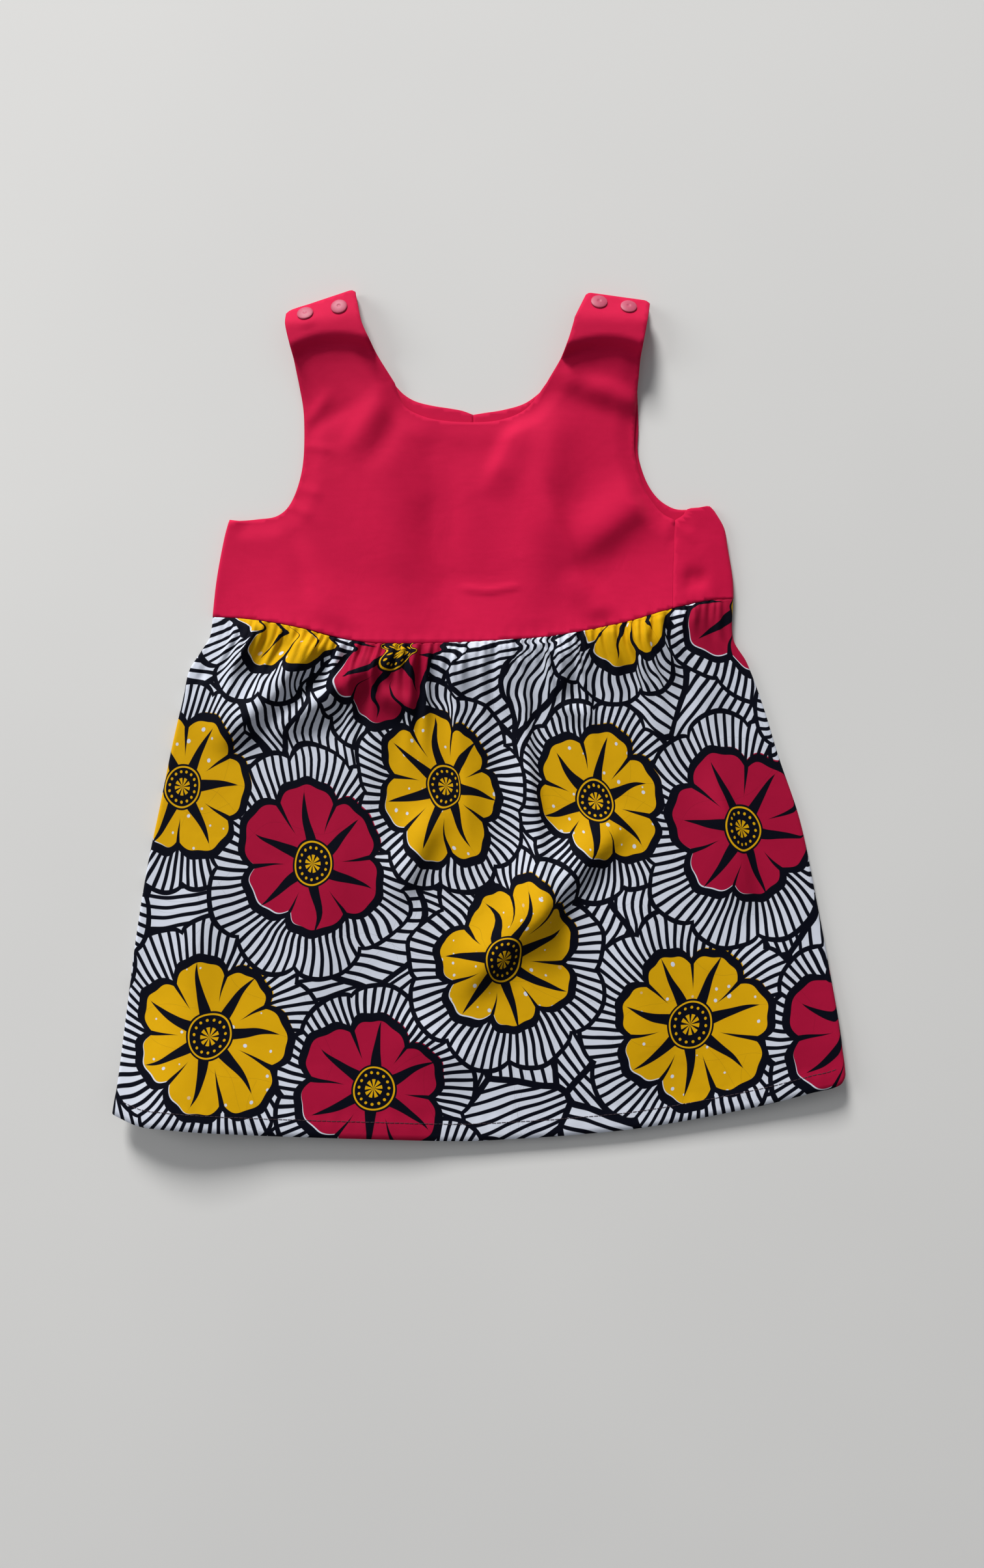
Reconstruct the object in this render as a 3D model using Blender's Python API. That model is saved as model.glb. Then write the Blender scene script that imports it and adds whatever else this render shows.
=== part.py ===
"""Child's sleeveless pinafore dress: plain bodice over a gathered print skirt, laid flat, front up.

Lengths are millimetres on the laid out dress: x to the right, y towards the neck, z up from the
surface. The bodice is cut as one front and two back halves, the skirt as one front and one back.
The right back half folds round the side onto the front, and each shoulder strap is closed by two
snaps, each made of a cap and socket on the front strap and a stud and back cap on the back strap.
"""

import math
from collections import namedtuple

import bmesh
import bpy
from mathutils import Vector
from mathutils.geometry import delaunay_2d_cdt

MM = 0.001

# Driving sizes
BODICE_WALL = 1.3
SKIRT_WALL = 1.2
SEAM_GAP = 0.3
FRONT_LEVEL = 4.8
BACK_EDGE_INSET = 0.8
EDGE_GAP = 0.5
BACK_NECK_CENTRE = -2.6

# Heights of the middle of each cloth where it lies flat
BODICE_BACK_LEVEL = BODICE_WALL / 2
SKIRT_BACK_LEVEL = SKIRT_WALL / 2
SIDE_SEAM_LEVEL = 2.7
WRAP_RADIUS = (FRONT_LEVEL - BODICE_BACK_LEVEL) / 2

# Radii of the rounded sides, from each layer to the side seam
FRONT_ROLL = FRONT_LEVEL - SIDE_SEAM_LEVEL - SEAM_GAP / 2
BODICE_BACK_ROLL = SIDE_SEAM_LEVEL - SEAM_GAP / 2 - BODICE_BACK_LEVEL
SKIRT_BACK_ROLL = SIDE_SEAM_LEVEL - SEAM_GAP / 2 - SKIRT_BACK_LEVEL

# Snap pieces, each height along the snap's own axis
CAP_RADIUS = 5.35
CAP_RIM = 0.7
CAP_DOME = 0.55
SOCKET_RADIUS = 4.8
SOCKET_HOLE = 2.3
SOCKET_HEIGHT = 1.4
STUD_FLANGE = 0.8
STUD_POST_RADIUS = 1.8
STUD_POST_HEIGHT = 1.3
STRAP_SPACE = 3 * SEAM_GAP + SOCKET_HEIGHT + STUD_FLANGE
STRAP_DROP = STRAP_SPACE + BODICE_WALL
SNAP_FLAT_RADIUS = 6.2
SNAP_BLEND_RADIUS = 10.5
SNAP_RING = 5.8
SNAP_RING_COUNT = 8
BACK_CAP_RADIUS = 4.6
BACK_CAP_EDGE = 0.4
BACK_CAP_DEPTH = 0.9
CAP_CHAMFER = 0.3
SLOPE_REACH = 2.0

# Straps: level where they leave the bodice, level of their ends, and cloth past the snaps
STRAP_ROOT = 212.0
STRAP_TOP = 278.0
STRAP_TAIL = 8.0
STRAP_STATIONS = (227.0, 235.0, 243.0, 251.0, 258.0)
STRAP_END_COUNT = 6
STRAP_FOOT = 200.0
STRAP_START = 219.2
RETURN_START = 235.0
RIDGE_CROWN = 0.35
SEAM_TOP = 120.0
SEAM_END = 150.0
FOLD_OVERHANG = 1.2
FOLD_EASE = 1.18
FOLD_SETTLE = 2.5

# Places of the mesh on a rounded side edge, a side fold and a shoulder fold, as shares of the turn
ROLL_TURNS = (0.33, 0.67, 1.05)
WRAP_TURNS = (0.2, 0.4, 0.6, 0.8)
SHOULDER_TURNS = (0.0, 0.25, 0.5, 0.75, 1.0)

# Stations up the side fold, closer together where it rounds off at the armhole
SIDE_FOLD_STATIONS = (0.13, 0.26, 0.39, 0.52, 0.64, 0.74, 0.82, 0.89, 0.95)
CORNER_REACH = 3.0

# Widths over which the soft folds fade out at the edges
NECK_FADE = 15.0
WAIST_FADE = 14.0
SEAM_FADE = 12.0
ROUND_FADE = 14.0
WRAP_SETTLE = 10.0
SKIRT_SIDE_FADE = 18.0
SKIRT_WAIST_FADE = 12.0
FOLD_TIP = 0.35

# Mesh spacing, and how far its points stay from the edges and from each other
BODICE_STEP = 12.0
STRAP_STEP = 7.5
SKIRT_STEP = 15.0
BACK_STEP = 24.0
EDGE_STEP = 7.5
BODICE_CLEAR = 5.0
STRAP_CLEAR = 3.4
SKIRT_CLEAR = 8.0
BACK_CLEAR = 7.0
LINE_CLEAR = 0.5
GATHER_CLEAR = 2.2
NORMAL_REACH = 0.25
SHARP_EDGE = 40.0

Row = namedtuple("Row", "x y")
Level = namedtuple("Level", "y x")
StrapLevel = namedtuple("StrapLevel", "y low high")
StrapEdge = namedtuple("StrapEdge", "foot_y ridge_y ridge_z end_y end_z")
Fold = namedtuple("Fold", "x1 y1 x2 y2 left right height")
Lift = namedtuple("Lift", "x rise")

# Waist seam, left to right
WAIST = [
    Row(-174.5, 65.2), Row(-150.0, 63.2), Row(-116.0, 57.4), Row(-85.0, 49.6), Row(-60.0, 47.0),
    Row(-10.0, 47.7), Row(20.0, 49.4), Row(50.0, 51.8), Row(97.0, 60.8), Row(125.0, 69.0),
    Row(152.0, 75.6), Row(169.1, 77.2),
]

# Side edges of the bodice, from the waist up to the armhole
BODICE_LEFT = [Level(65.2, -174.5), Level(90.0, -171.7), Level(117.6, -166.6), Level(129.4, -163.4)]
BODICE_RIGHT = [
    Level(77.2, 169.1), Level(90.0, 168.7), Level(111.8, 165.2), Level(123.8, 163.0),
    Level(135.0, 156.6), Level(138.2, 153.6),
]
RIGHT_SEAM = [Level(69.6, 128.2), Level(100.0, 129.2), Level(129.0, 130.7)]

# Edges of each strap at its levels
STRAP_LEVELS = {
    "left": [
        StrapLevel(219.2, -117.4, -54.3), StrapLevel(237.8, -121.0, -66.3),
        StrapLevel(254.2, -124.7, -74.6), StrapLevel(266.0, -125.1, -77.0),
        StrapLevel(279.0, -125.1, -79.8),
    ],
    "right": [
        StrapLevel(219.2, 46.0, 106.1), StrapLevel(237.8, 57.2, 107.6),
        StrapLevel(252.4, 62.3, 110.2), StrapLevel(266.1, 65.8, 112.6),
        StrapLevel(279.0, 71.8, 113.4),
    ],
}

# Shoulder hump of each strap, along its left and its right edge
STRAP_HUMPS = {
    "left": (
        StrapEdge(foot_y=232.0, ridge_y=252.5, ridge_z=15.5, end_y=264.8, end_z=8.4),
        StrapEdge(foot_y=229.0, ridge_y=254.5, ridge_z=16.5, end_y=279.0, end_z=10.6),
    ),
    "right": (
        StrapEdge(foot_y=231.0, ridge_y=254.0, ridge_z=17.5, end_y=277.6, end_z=8.6),
        StrapEdge(foot_y=235.0, ridge_y=253.0, ridge_z=17.0, end_y=271.8, end_z=8.4),
    ),
}
SNAP_PLACES = {
    "left": (Row(-111.9, 261.4), Row(-89.7, 265.6)),
    "right": (Row(79.8, 269.4), Row(99.0, 266.0)),
}

# Front armholes and neck, each from the strap downwards
FRONT_ARMHOLE_LEFT = [
    Row(-117.4, 219.2), Row(-114.8, 202.6), Row(-114.2, 186.0), Row(-114.8, 169.6),
    Row(-116.9, 157.1), Row(-121.0, 145.0), Row(-126.1, 136.6), Row(-133.5, 131.6),
    Row(-145.0, 129.9), Row(-157.1, 128.6),
]
FRONT_ARMHOLE_RIGHT = [
    Row(106.1, 219.2), Row(105.2, 204.0), Row(104.2, 186.0), Row(104.2, 175.6), Row(107.0, 162.0),
    Row(111.7, 148.0), Row(115.6, 142.1), Row(120.6, 135.7), Row(124.9, 132.1), Row(130.7, 129.0),
]
FRONT_NECK = [
    Row(-54.3, 219.2), Row(-48.8, 205.6), Row(-39.5, 199.5), Row(-25.6, 195.6), Row(-2.6, 194.1),
    Row(16.7, 196.0), Row(32.9, 203.3), Row(46.0, 219.2),
]

# Back neck from the left strap to the small V at the centre, and from the V to the right strap
BACK_NECK_LEFT = [
    Row(-54.3, 219.2), Row(-48.8, 213.4), Row(-41.0, 208.7), Row(-29.5, 205.7), Row(-18.0, 203.9),
    Row(-9.5, 202.3), Row(-2.6, 199.7),
]
BACK_NECK_RIGHT = [
    Row(-2.6, 199.7), Row(5.2, 201.0), Row(16.7, 202.8), Row(30.6, 206.8), Row(39.9, 213.0),
    Row(46.0, 219.2),
]
BACK_ARMHOLE_RIGHT = [
    Row(106.1, 219.2), Row(106.9, 190.1), Row(106.5, 175.7), Row(108.4, 166.0), Row(112.8, 154.3),
    Row(119.1, 145.0), Row(126.3, 139.4), Row(133.5, 136.8), Row(146.3, 137.2), Row(153.6, 138.2),
]
# Top edge of the part that folds onto the front, from the fold to the side seam
WRAP_TOP = [Row(153.6, 138.2), Row(146.3, 137.2), Row(138.8, 136.2), Row(136.5, 132.6), Row(130.7, 129.0)]

# Skirt sides, from the waist down, and the hem from left to right
SKIRT_LEFT = [
    Level(65.2, -174.5), Level(52.0, -176.5), Level(42.0, -182.5), Level(30.0, -190.0),
    Level(13.4, -193.7), Level(-18.1, -201.0), Level(-60.4, -209.6), Level(-101.0, -218.0),
    Level(-149.7, -225.7), Level(-195.5, -231.4), Level(-240.0, -236.8), Level(-262.5, -240.2),
]
SKIRT_RIGHT = [
    Level(77.2, 169.1), Level(50.5, 169.3), Level(35.0, 178.2), Level(6.2, 189.0),
    Level(-26.8, 199.1), Level(-69.5, 213.4), Level(-128.2, 225.5), Level(-167.0, 232.7),
    Level(-207.6, 239.8), Level(-236.0, 243.0),
]
HEM = [
    Row(-240.2, -262.5), Row(-222.0, -271.0), Row(-203.0, -273.6), Row(-182.0, -275.4),
    Row(-135.0, -277.4), Row(-69.9, -279.4), Row(-9.9, -280.6), Row(22.0, -279.2),
    Row(61.5, -276.6), Row(110.9, -271.4), Row(180.4, -258.7), Row(220.1, -248.8),
    Row(238.5, -243.6), Row(243.0, -236.0),
]

# Soft folds: a line, the reach of its left and its right flank, and its height
BODICE_FOLDS = [
    Fold(-44.0, 188.0, -28.0, 92.0, 15.0, 15.0, -1.1),
    Fold(-76.0, 196.0, -58.0, 96.0, 17.0, 15.0, 1.0),
    Fold(-123.0, 122.0, -112.0, 84.0, 7.0, 7.0, -0.9),
    Fold(-121.0, 112.0, -91.0, 64.0, 12.0, 9.0, 1.1),
    Fold(44.0, 142.0, 66.0, 88.0, 10.0, 14.0, 1.2),
    Fold(66.0, 88.0, 84.0, 64.0, 10.0, 12.0, 1.0),
    Fold(-6.0, 83.0, 24.0, 85.0, 4.0, 5.0, 0.8),
    Fold(98.0, 150.0, 92.0, 100.0, 13.0, 13.0, -1.5),
    Fold(60.0, 221.0, 98.0, 207.0, 9.0, 8.0, 1.3),
    Fold(-12.0, 178.0, 18.0, 176.0, 18.0, 18.0, -0.8),
    Fold(138.0, 91.0, 150.0, 89.0, 9.0, 7.0, -1.0),
]
SKIRT_FOLDS = [
    Fold(-14.2, 42.0, -12.0, -8.0, 5.0, 11.0, 2.4),
    Fold(-12.0, -8.0, -5.0, -66.0, 5.0, 12.0, 2.2),
    Fold(29.0, 20.0, 34.5, -46.0, 12.0, 5.0, 2.3),
    Fold(34.5, -46.0, 42.3, -98.0, 13.0, 6.0, 2.6),
    Fold(56.1, 46.0, 57.0, 16.0, 9.0, 4.5, 1.8),
    Fold(57.0, 6.0, 72.0, 0.0, 6.0, 5.0, 1.6),
    Fold(157.9, -52.0, 176.9, -113.0, 16.0, 7.0, 2.6),
    Fold(-105.3, 50.0, -131.2, 8.0, 6.0, 12.0, 2.6),
    Fold(-131.2, 8.0, -164.0, -28.0, 8.0, 14.0, 2.8),
    Fold(37.5, -98.0, 48.0, -150.0, 15.0, 9.0, 3.0),
    Fold(-150.0, 46.0, -162.0, 6.0, 9.0, 7.0, 1.8),
    Fold(-60.0, 40.0, -72.0, -40.0, 13.0, 11.0, 1.5),
    Fold(104.0, 52.0, 126.0, -20.0, 10.0, 13.0, 2.0),
    Fold(140.0, 62.0, 158.0, 8.0, 9.0, 10.0, 1.9),
    Fold(-42.7, -206.0, -7.8, -232.0, 16.0, 11.0, 1.8),
    Fold(-95.0, -90.0, -110.0, -190.0, 22.0, 20.0, 1.4),
    Fold(96.0, -130.0, 112.0, -225.0, 22.0, 20.0, 1.6),
    Fold(-182.0, -110.0, -196.0, -235.0, 20.0, 18.0, 1.5),
    Fold(-178.0, 48.0, -181.5, 28.0, 3.0, 3.5, -1.6),
    Fold(-181.5, 28.0, -191.0, 13.0, 3.0, 3.5, -1.4),
    Fold(196.0, -150.0, 206.0, -225.0, 18.0, 16.0, 1.4),
]

# Rise of both skirt layers off the surface along the hem, gone well above it
HEM_LIFT = [
    Lift(-245.0, 4.0), Lift(-205.0, 9.5), Lift(-135.0, 8.5), Lift(-60.0, 4.5), Lift(40.0, 2.0),
    Lift(150.0, 1.2), Lift(245.0, 0.6),
]
HEM_LIFT_REACH = 120.0

# Hem of the back, seen from above just inside the front's
BACK_HEM_RISE = 1.2
BACK_HEM_INSET = 0.6

# Gathers along the waist of the skirt's front
GATHERS = 30
GATHER_RISE = 1.5
GATHER_LENGTH = 36.0
GATHER_START = 7.0
GATHER_ROWS = (3.2, 8.0, 14.0, 23.0, 34.0)
GATHER_LOOSE_ROWS = (46.0, 60.0)


def smooth(low, high, value):
    """Nought below the low value, one above the high value, and an easy curve between them."""
    share = min(1.0, max(0.0, (value - low) / (high - low)))
    return share * share * (3.0 - 2.0 * share)


def between(rows, value):
    """Value of a two-column table at a key, along a smooth curve that keeps its end values beyond."""
    keys = [row[0] for row in rows]
    values = [row[1] for row in rows]
    if keys[0] > keys[-1]:
        keys.reverse()
        values.reverse()
    if value <= keys[0]:
        return values[0]
    if value >= keys[-1]:
        return values[-1]
    index = max(i for i, key in enumerate(keys) if key <= value)
    slopes = []
    for i in (index, index + 1):
        before, after = max(i - 1, 0), min(i + 1, len(keys) - 1)
        slopes.append((values[after] - values[before]) / (keys[after] - keys[before]))
    span = keys[index + 1] - keys[index]
    t = (value - keys[index]) / span
    return ((2 * t**3 - 3 * t**2 + 1) * values[index] + (t**3 - 2 * t**2 + t) * span * slopes[0]
            + (3 * t**2 - 2 * t**3) * values[index + 1] + (t**3 - t**2) * span * slopes[1])


def along(rows, step=EDGE_STEP):
    """Points about a step apart on the smooth curve through a run of x, y rows, both ends kept."""
    stations = [Vector((row[0], row[1])) for row in rows]
    points = [stations[0]]
    for i in range(len(stations) - 1):
        start, end = stations[i], stations[i + 1]
        before = stations[i - 1] if i else start - (end - start)
        after = stations[i + 2] if i + 2 < len(stations) else end + (end - start)
        count = max(1, round((end - start).length / step))
        for k in range(1, count + 1):
            t = k / count
            chord = (end - start).length
            leave = (end - before) * chord / max((end - before).length, 1e-6)
            arrive = (after - start) * chord / max((after - start).length, 1e-6)
            points.append((2 * t**3 - 3 * t**2 + 1) * start + (t**3 - 2 * t**2 + t) * leave
                          + (3 * t**2 - 2 * t**3) * end + (t**3 - t**2) * arrive)
    return points


def waist(x):
    """Height of the waist seam on the page at a place across."""
    return between(WAIST, x)


def folds_at(folds, x, y):
    """Sum of the soft folds' heights at a place."""
    total = 0.0
    for fold in folds:
        run = Vector((fold.x2 - fold.x1, fold.y2 - fold.y1))
        away = Vector((x - fold.x1, y - fold.y1))
        share = away.dot(run) / run.length_squared
        if not -FOLD_TIP < share < 1.0 + FOLD_TIP:
            continue
        side = (run.x * away.y - run.y * away.x) / run.length
        reach = fold.right if side > 0 else fold.left
        fade = smooth(-FOLD_TIP, 0.2, share) * (1.0 - smooth(0.8, 1.0 + FOLD_TIP, share))
        total += fold.height * fade * math.exp(-(side / reach) ** 2)
    return total


def rolled(distance, radius):
    """Way in from a rounded edge, and share of the rise, at a distance along the cloth."""
    if distance >= radius * math.pi / 2:
        return distance - radius * (math.pi / 2 - 1), 1.0
    angle = max(distance, 0.0) / radius
    return radius * (1.0 - math.cos(angle)), math.sin(angle)


def roll_spare(radius):
    """Cloth that a rounded edge takes up beyond its own width."""
    return radius * (math.pi / 2 - 1)


def strap_edges(side, y):
    """Left and right edge of a strap at a level."""
    levels = STRAP_LEVELS[side]
    low = between([(row.y, row.low) for row in levels], y)
    high = between([(row.y, row.high) for row in levels], y)
    return low, high


def strap_side(x):
    """Name of the strap on this half of the dress."""
    return "left" if x < BACK_NECK_CENTRE else "right"


def strap_share(side, x, y):
    """Share of the way across a strap, from its left edge."""
    low, high = strap_edges(side, y)
    return min(1.0, max(0.0, (x - low) / (high - low)))


def hump_at(side, share):
    """Size of a strap's shoulder hump at a share of its width."""
    left, right = STRAP_HUMPS[side]
    return StrapEdge(*(a + (b - a) * share for a, b in zip(left, right)))


def plain_hump(side, x, y, ground):
    """Height of the front strap, with its hump, before it is flattened under the snaps."""
    hump = hump_at(side, strap_share(side, x, y))
    if y <= hump.ridge_y:
        return ground + (hump.ridge_z - ground) * smooth(hump.foot_y, hump.ridge_y, y)
    share = (y - hump.ridge_y) / (hump.end_y - hump.ridge_y)
    full = 2 * RIDGE_CROWN - RIDGE_CROWN * RIDGE_CROWN
    if share < RIDGE_CROWN:
        fall = share * share / full
    else:
        fall = (2 * share - RIDGE_CROWN) * RIDGE_CROWN / full
    return hump.ridge_z - (hump.ridge_z - hump.end_z) * fall


def snap_plane(side, place):
    """Height and slopes of the flat patch of a front strap under one snap."""
    reach = SLOPE_REACH
    height = plain_hump(side, place.x, place.y, FRONT_LEVEL)
    slope_x = (plain_hump(side, place.x + reach, place.y, FRONT_LEVEL)
               - plain_hump(side, place.x - reach, place.y, FRONT_LEVEL)) / (2 * reach)
    slope_y = (plain_hump(side, place.x, place.y + reach, FRONT_LEVEL)
               - plain_hump(side, place.x, place.y - reach, FRONT_LEVEL)) / (2 * reach)
    return height, slope_x, slope_y


SNAP_PLANES = {side: [snap_plane(side, place) for place in places]
               for side, places in SNAP_PLACES.items()}


def strap_height(side, x, y, ground):
    """Height of the front strap's middle, flat where the snaps sit."""
    height = plain_hump(side, x, y, ground)
    for place, (level, slope_x, slope_y) in zip(SNAP_PLACES[side], SNAP_PLANES[side]):
        away = math.hypot(x - place.x, y - place.y)
        if away < SNAP_BLEND_RADIUS:
            plane = level + slope_x * (x - place.x) + slope_y * (y - place.y)
            share = 1.0 - smooth(SNAP_FLAT_RADIUS, SNAP_BLEND_RADIUS, away)
            height += (plane - height) * share
    return height


def edge_distance(outline, x, y):
    """Distance from a place to the nearest stretch of an outline."""
    nearest = 1e9
    for i, start in enumerate(outline):
        end = outline[(i + 1) % len(outline)]
        run = end - start
        away = Vector((x, y)) - start
        share = min(1.0, max(0.0, away.dot(run) / max(run.length_squared, 1e-9)))
        nearest = min(nearest, (away - run * share).length)
    return nearest


def free_edges():
    """Neck and armhole edges of the front, where it comes down onto the back."""
    runs = []
    for rows in (FRONT_ARMHOLE_LEFT, FRONT_NECK, FRONT_ARMHOLE_RIGHT):
        runs.append([Vector(row) for row in rows])
    for side in ("left", "right"):
        for edge in (0, 1):
            runs.append([Vector((strap_edges(side, y)[edge], y)) for y in (STRAP_START, 240.0, STRAP_TOP)])
    return runs


FREE_EDGES = free_edges()


def free_edge_distance(x, y):
    """Distance from a place to the nearest neck or armhole edge of the front."""
    nearest = 1e9
    for run in FREE_EDGES:
        for start, end in zip(run, run[1:]):
            way = end - start
            away = Vector((x, y)) - start
            share = min(1.0, max(0.0, away.dot(way) / way.length_squared))
            nearest = min(nearest, (away - way * share).length)
    return nearest


def bodice_level(x, y):
    """Height of the middle of the front bodice, and of what folds onto it, at a place."""
    edge_drop = FRONT_LEVEL - (BODICE_WALL * 1.5 + EDGE_GAP)
    near_edge = 1.0 - smooth(0.0, NECK_FADE, free_edge_distance(x, y))
    away_from_waist = smooth(0.0, WAIST_FADE, y - waist(x))
    folds = folds_at(BODICE_FOLDS, x, y) * away_from_waist * (1.0 - near_edge)
    side_seam = 1.0 - smooth(0.0, SEAM_FADE, abs(x - between(RIGHT_SEAM, y)))
    folds *= 1.0 - side_seam
    held_up = side_seam * (1.0 - smooth(SEAM_TOP, SEAM_END, y))
    ground = FRONT_LEVEL - edge_drop * near_edge * (1.0 - held_up) + folds
    if y < STRAP_FOOT:
        return ground
    return strap_height(strap_side(x), x, y, ground)


def gather_centres():
    """Places of the gathers along the waist as shares of its width, unevenly spaced."""
    centres = [index + 0.2 * math.sin(2.4 * index) + 0.1 * math.sin(5.1 * index)
               for index in range(GATHERS + 1)]
    span = centres[-1] - centres[0]
    return [(centre - centres[0]) / span for centre in centres]


GATHER_CENTRES = gather_centres()


def gather_size(index):
    """Height and length of one gather."""
    rise = GATHER_RISE * (1.0 + 0.35 * math.sin(3.1 * index))
    length = GATHER_LENGTH * (1.0 + 0.4 * math.sin(1.9 * index + 0.7) + 0.28 * math.sin(5.3 * index))
    return rise, length


def gather_at(share, drop):
    """Height of the gathers at a share of the width and a drop below the waist."""
    index = max(i for i, centre in enumerate(GATHER_CENTRES[:-1]) if centre <= max(share, 0.0))
    part = (share - GATHER_CENTRES[index]) / (GATHER_CENTRES[index + 1] - GATHER_CENTRES[index])
    start, stop = gather_size(index), gather_size(index + 1)
    rise = start[0] + (stop[0] - start[0]) * part
    length = start[1] + (stop[1] - start[1]) * part
    fade = smooth(0.0, GATHER_START, drop) * (1.0 - smooth(0.3 * length, 1.5 * length, drop))
    return rise * fade * math.cos(2 * math.pi * part)


def hem_lift(x, y):
    """Rise of both skirt layers off the surface."""
    hem_y = between(HEM, x)
    return between(HEM_LIFT, x) * (1.0 - smooth(0.0, HEM_LIFT_REACH, y - hem_y)) ** 1.5


def skirt_level(x, y):
    """Height of the middle of the skirt's front at a place, away from its rounded sides."""
    left, right = between(SKIRT_LEFT, y), between(SKIRT_RIGHT, y)
    share = min(1.0, max(0.0, (x - left) / (right - left)))
    drop = waist(x) - y
    side_fade = smooth(0.0, SKIRT_SIDE_FADE, x - left) * smooth(0.0, SKIRT_SIDE_FADE, right - x)
    relief = gather_at(share, drop) + folds_at(SKIRT_FOLDS, x, y) * smooth(0.0, SKIRT_WAIST_FADE, drop)
    return FRONT_LEVEL + relief * side_fade


def fold_centre(y):
    """Place across of the middle of the side fold's turn."""
    return between(BODICE_RIGHT, y) - WRAP_RADIUS


def wrapped(x, y):
    """Place on the right back half's flat pattern of a place on the front that it folds over."""
    return Vector((2 * fold_centre(y) + math.pi * WRAP_RADIUS - x, y))


def place_bodice_front(p, y):
    """Middle of the front bodice's cloth: rounded down to the seam along the left side."""
    radius = FRONT_ROLL
    edge = between(BODICE_LEFT, y)
    inward, rise = rolled(p - edge + roll_spare(radius), radius)
    x = edge + inward
    side_fade = smooth(0.0, ROUND_FADE, inward)
    level = FRONT_LEVEL + (bodice_level(x, y) - FRONT_LEVEL) * side_fade
    return Vector((x, y, level - radius * (1.0 - rise)))


def place_side_wrap(p, y):
    """Middle of the right back half's cloth, folded round the side onto the front."""
    centre = fold_centre(y)
    if p <= centre:
        return Vector((p, y, BODICE_BACK_LEVEL))
    turn = (p - centre) / WRAP_RADIUS
    if turn < math.pi:
        return Vector((centre + WRAP_RADIUS * math.sin(turn), y,
                       BODICE_BACK_LEVEL + WRAP_RADIUS * (1.0 - math.cos(turn))))
    x = 2 * centre + WRAP_RADIUS * math.pi - p
    settle = smooth(0.0, WRAP_SETTLE, centre - x)
    return Vector((x, y, FRONT_LEVEL + (bodice_level(x, y) - FRONT_LEVEL) * settle))


def strap_fold(side, p):
    """Line of a back strap's fold at the shoulder, its radius and its height above the fold."""
    low, high = strap_edges(side, STRAP_TOP)
    hump = hump_at(side, min(1.0, max(0.0, (p - low) / (high - low))))
    outer = hump.end_y + FOLD_OVERHANG
    above = strap_height(side, p, hump.end_y - 1.0, FRONT_LEVEL) - STRAP_DROP * FOLD_EASE
    radius = (above - BODICE_BACK_LEVEL) / 2
    return outer - radius, radius


def place_back_strap(side, p, q):
    """Middle of a back strap's cloth: flat, over the shoulder fold, then up under the front strap."""
    fold_y, radius = strap_fold(side, p)
    if q <= fold_y:
        return Vector((p, q, BODICE_BACK_LEVEL))
    turn = (q - fold_y) / radius
    if turn < math.pi:
        return Vector((p, fold_y + radius * math.sin(turn),
                       BODICE_BACK_LEVEL + radius * (1.0 - math.cos(turn))))
    y = 2 * fold_y + radius * math.pi - q
    x = p + strap_shift(side, p, y)
    slope = (strap_height(side, x, y + 0.5, FRONT_LEVEL) - strap_height(side, x, y - 0.5, FRONT_LEVEL))
    tilt = (strap_height(side, x + 0.5, y, FRONT_LEVEL) - strap_height(side, x - 0.5, y, FRONT_LEVEL))
    below = STRAP_DROP * math.sqrt(1.0 + slope * slope + tilt * tilt)
    start = BODICE_BACK_LEVEL + 2 * radius
    settled = smooth(0.0, FOLD_SETTLE, fold_y - y)
    level = strap_height(side, x, y, FRONT_LEVEL) - below
    return Vector((x, y, start + (level - start) * settled))


def strap_shift(side, p, y):
    """How far a strap's cloth leans across between its fold and a level."""
    fold_y = strap_fold(side, p)[0]
    low, high = strap_edges(side, fold_y)
    share = (p - low) / (high - low)
    there, there_high = strap_edges(side, y)
    return (there - low) * (1.0 - share) + (there_high - high) * share


def place_bodice_back(p, q):
    """Middle of the back bodice's cloth at a place on its flat pattern."""
    side = strap_side(p)
    if q > RETURN_START:
        return place_back_strap(side, p, q)
    if side == "right":
        return place_side_wrap(p, q)
    radius = BODICE_BACK_ROLL
    edge = between(BODICE_LEFT, q)
    inward, rise = rolled(p - edge + roll_spare(radius), radius)
    return Vector((edge + inward, q, BODICE_BACK_LEVEL + radius * (1.0 - rise)))


def place_skirt(radius, level):
    """Maker of a skirt layer's middle surface, with both sides rounded to the side seams."""
    def place(p, y):
        left, right = between(SKIRT_LEFT, y), between(SKIRT_RIGHT, y)
        spare = roll_spare(abs(radius))
        inward, rise = rolled(p - left + spare, abs(radius))
        from_right, rise_right = rolled(right + spare - p, abs(radius))
        x = left + inward if inward < from_right else right - from_right
        return Vector((x, y, level(x, y) - radius * (1.0 - min(rise, rise_right)) + hem_lift(x, y)))
    return place


def inside(outline, point):
    """Whether a point lies inside a closed outline."""
    found = False
    for i, start in enumerate(outline):
        end = outline[(i + 1) % len(outline)]
        if (start.y > point.y) != (end.y > point.y):
            crossing = start.x + (point.y - start.y) * (end.x - start.x) / (end.y - start.y)
            if point.x < crossing:
                found = not found
    return found


def scattered(outline, step, keep, region=None):
    """Staggered rows of points inside an outline, a clear way from its edge."""
    low_x = min(point.x for point in outline)
    high_x = max(point.x for point in outline)
    low_y = min(point.y for point in outline)
    high_y = max(point.y for point in outline)
    points = []
    rows = int((high_y - low_y) / (step * 0.866)) + 1
    for row in range(rows):
        y = low_y + (row + 0.5) * step * 0.866
        columns = int((high_x - low_x) / step) + 2
        for column in range(columns):
            point = Vector((low_x + (column + 0.5 * (row % 2)) * step, y))
            if region and not region(point):
                continue
            if inside(outline, point) and edge_distance(outline, point.x, point.y) > keep:
                points.append(point)
    return points


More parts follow.
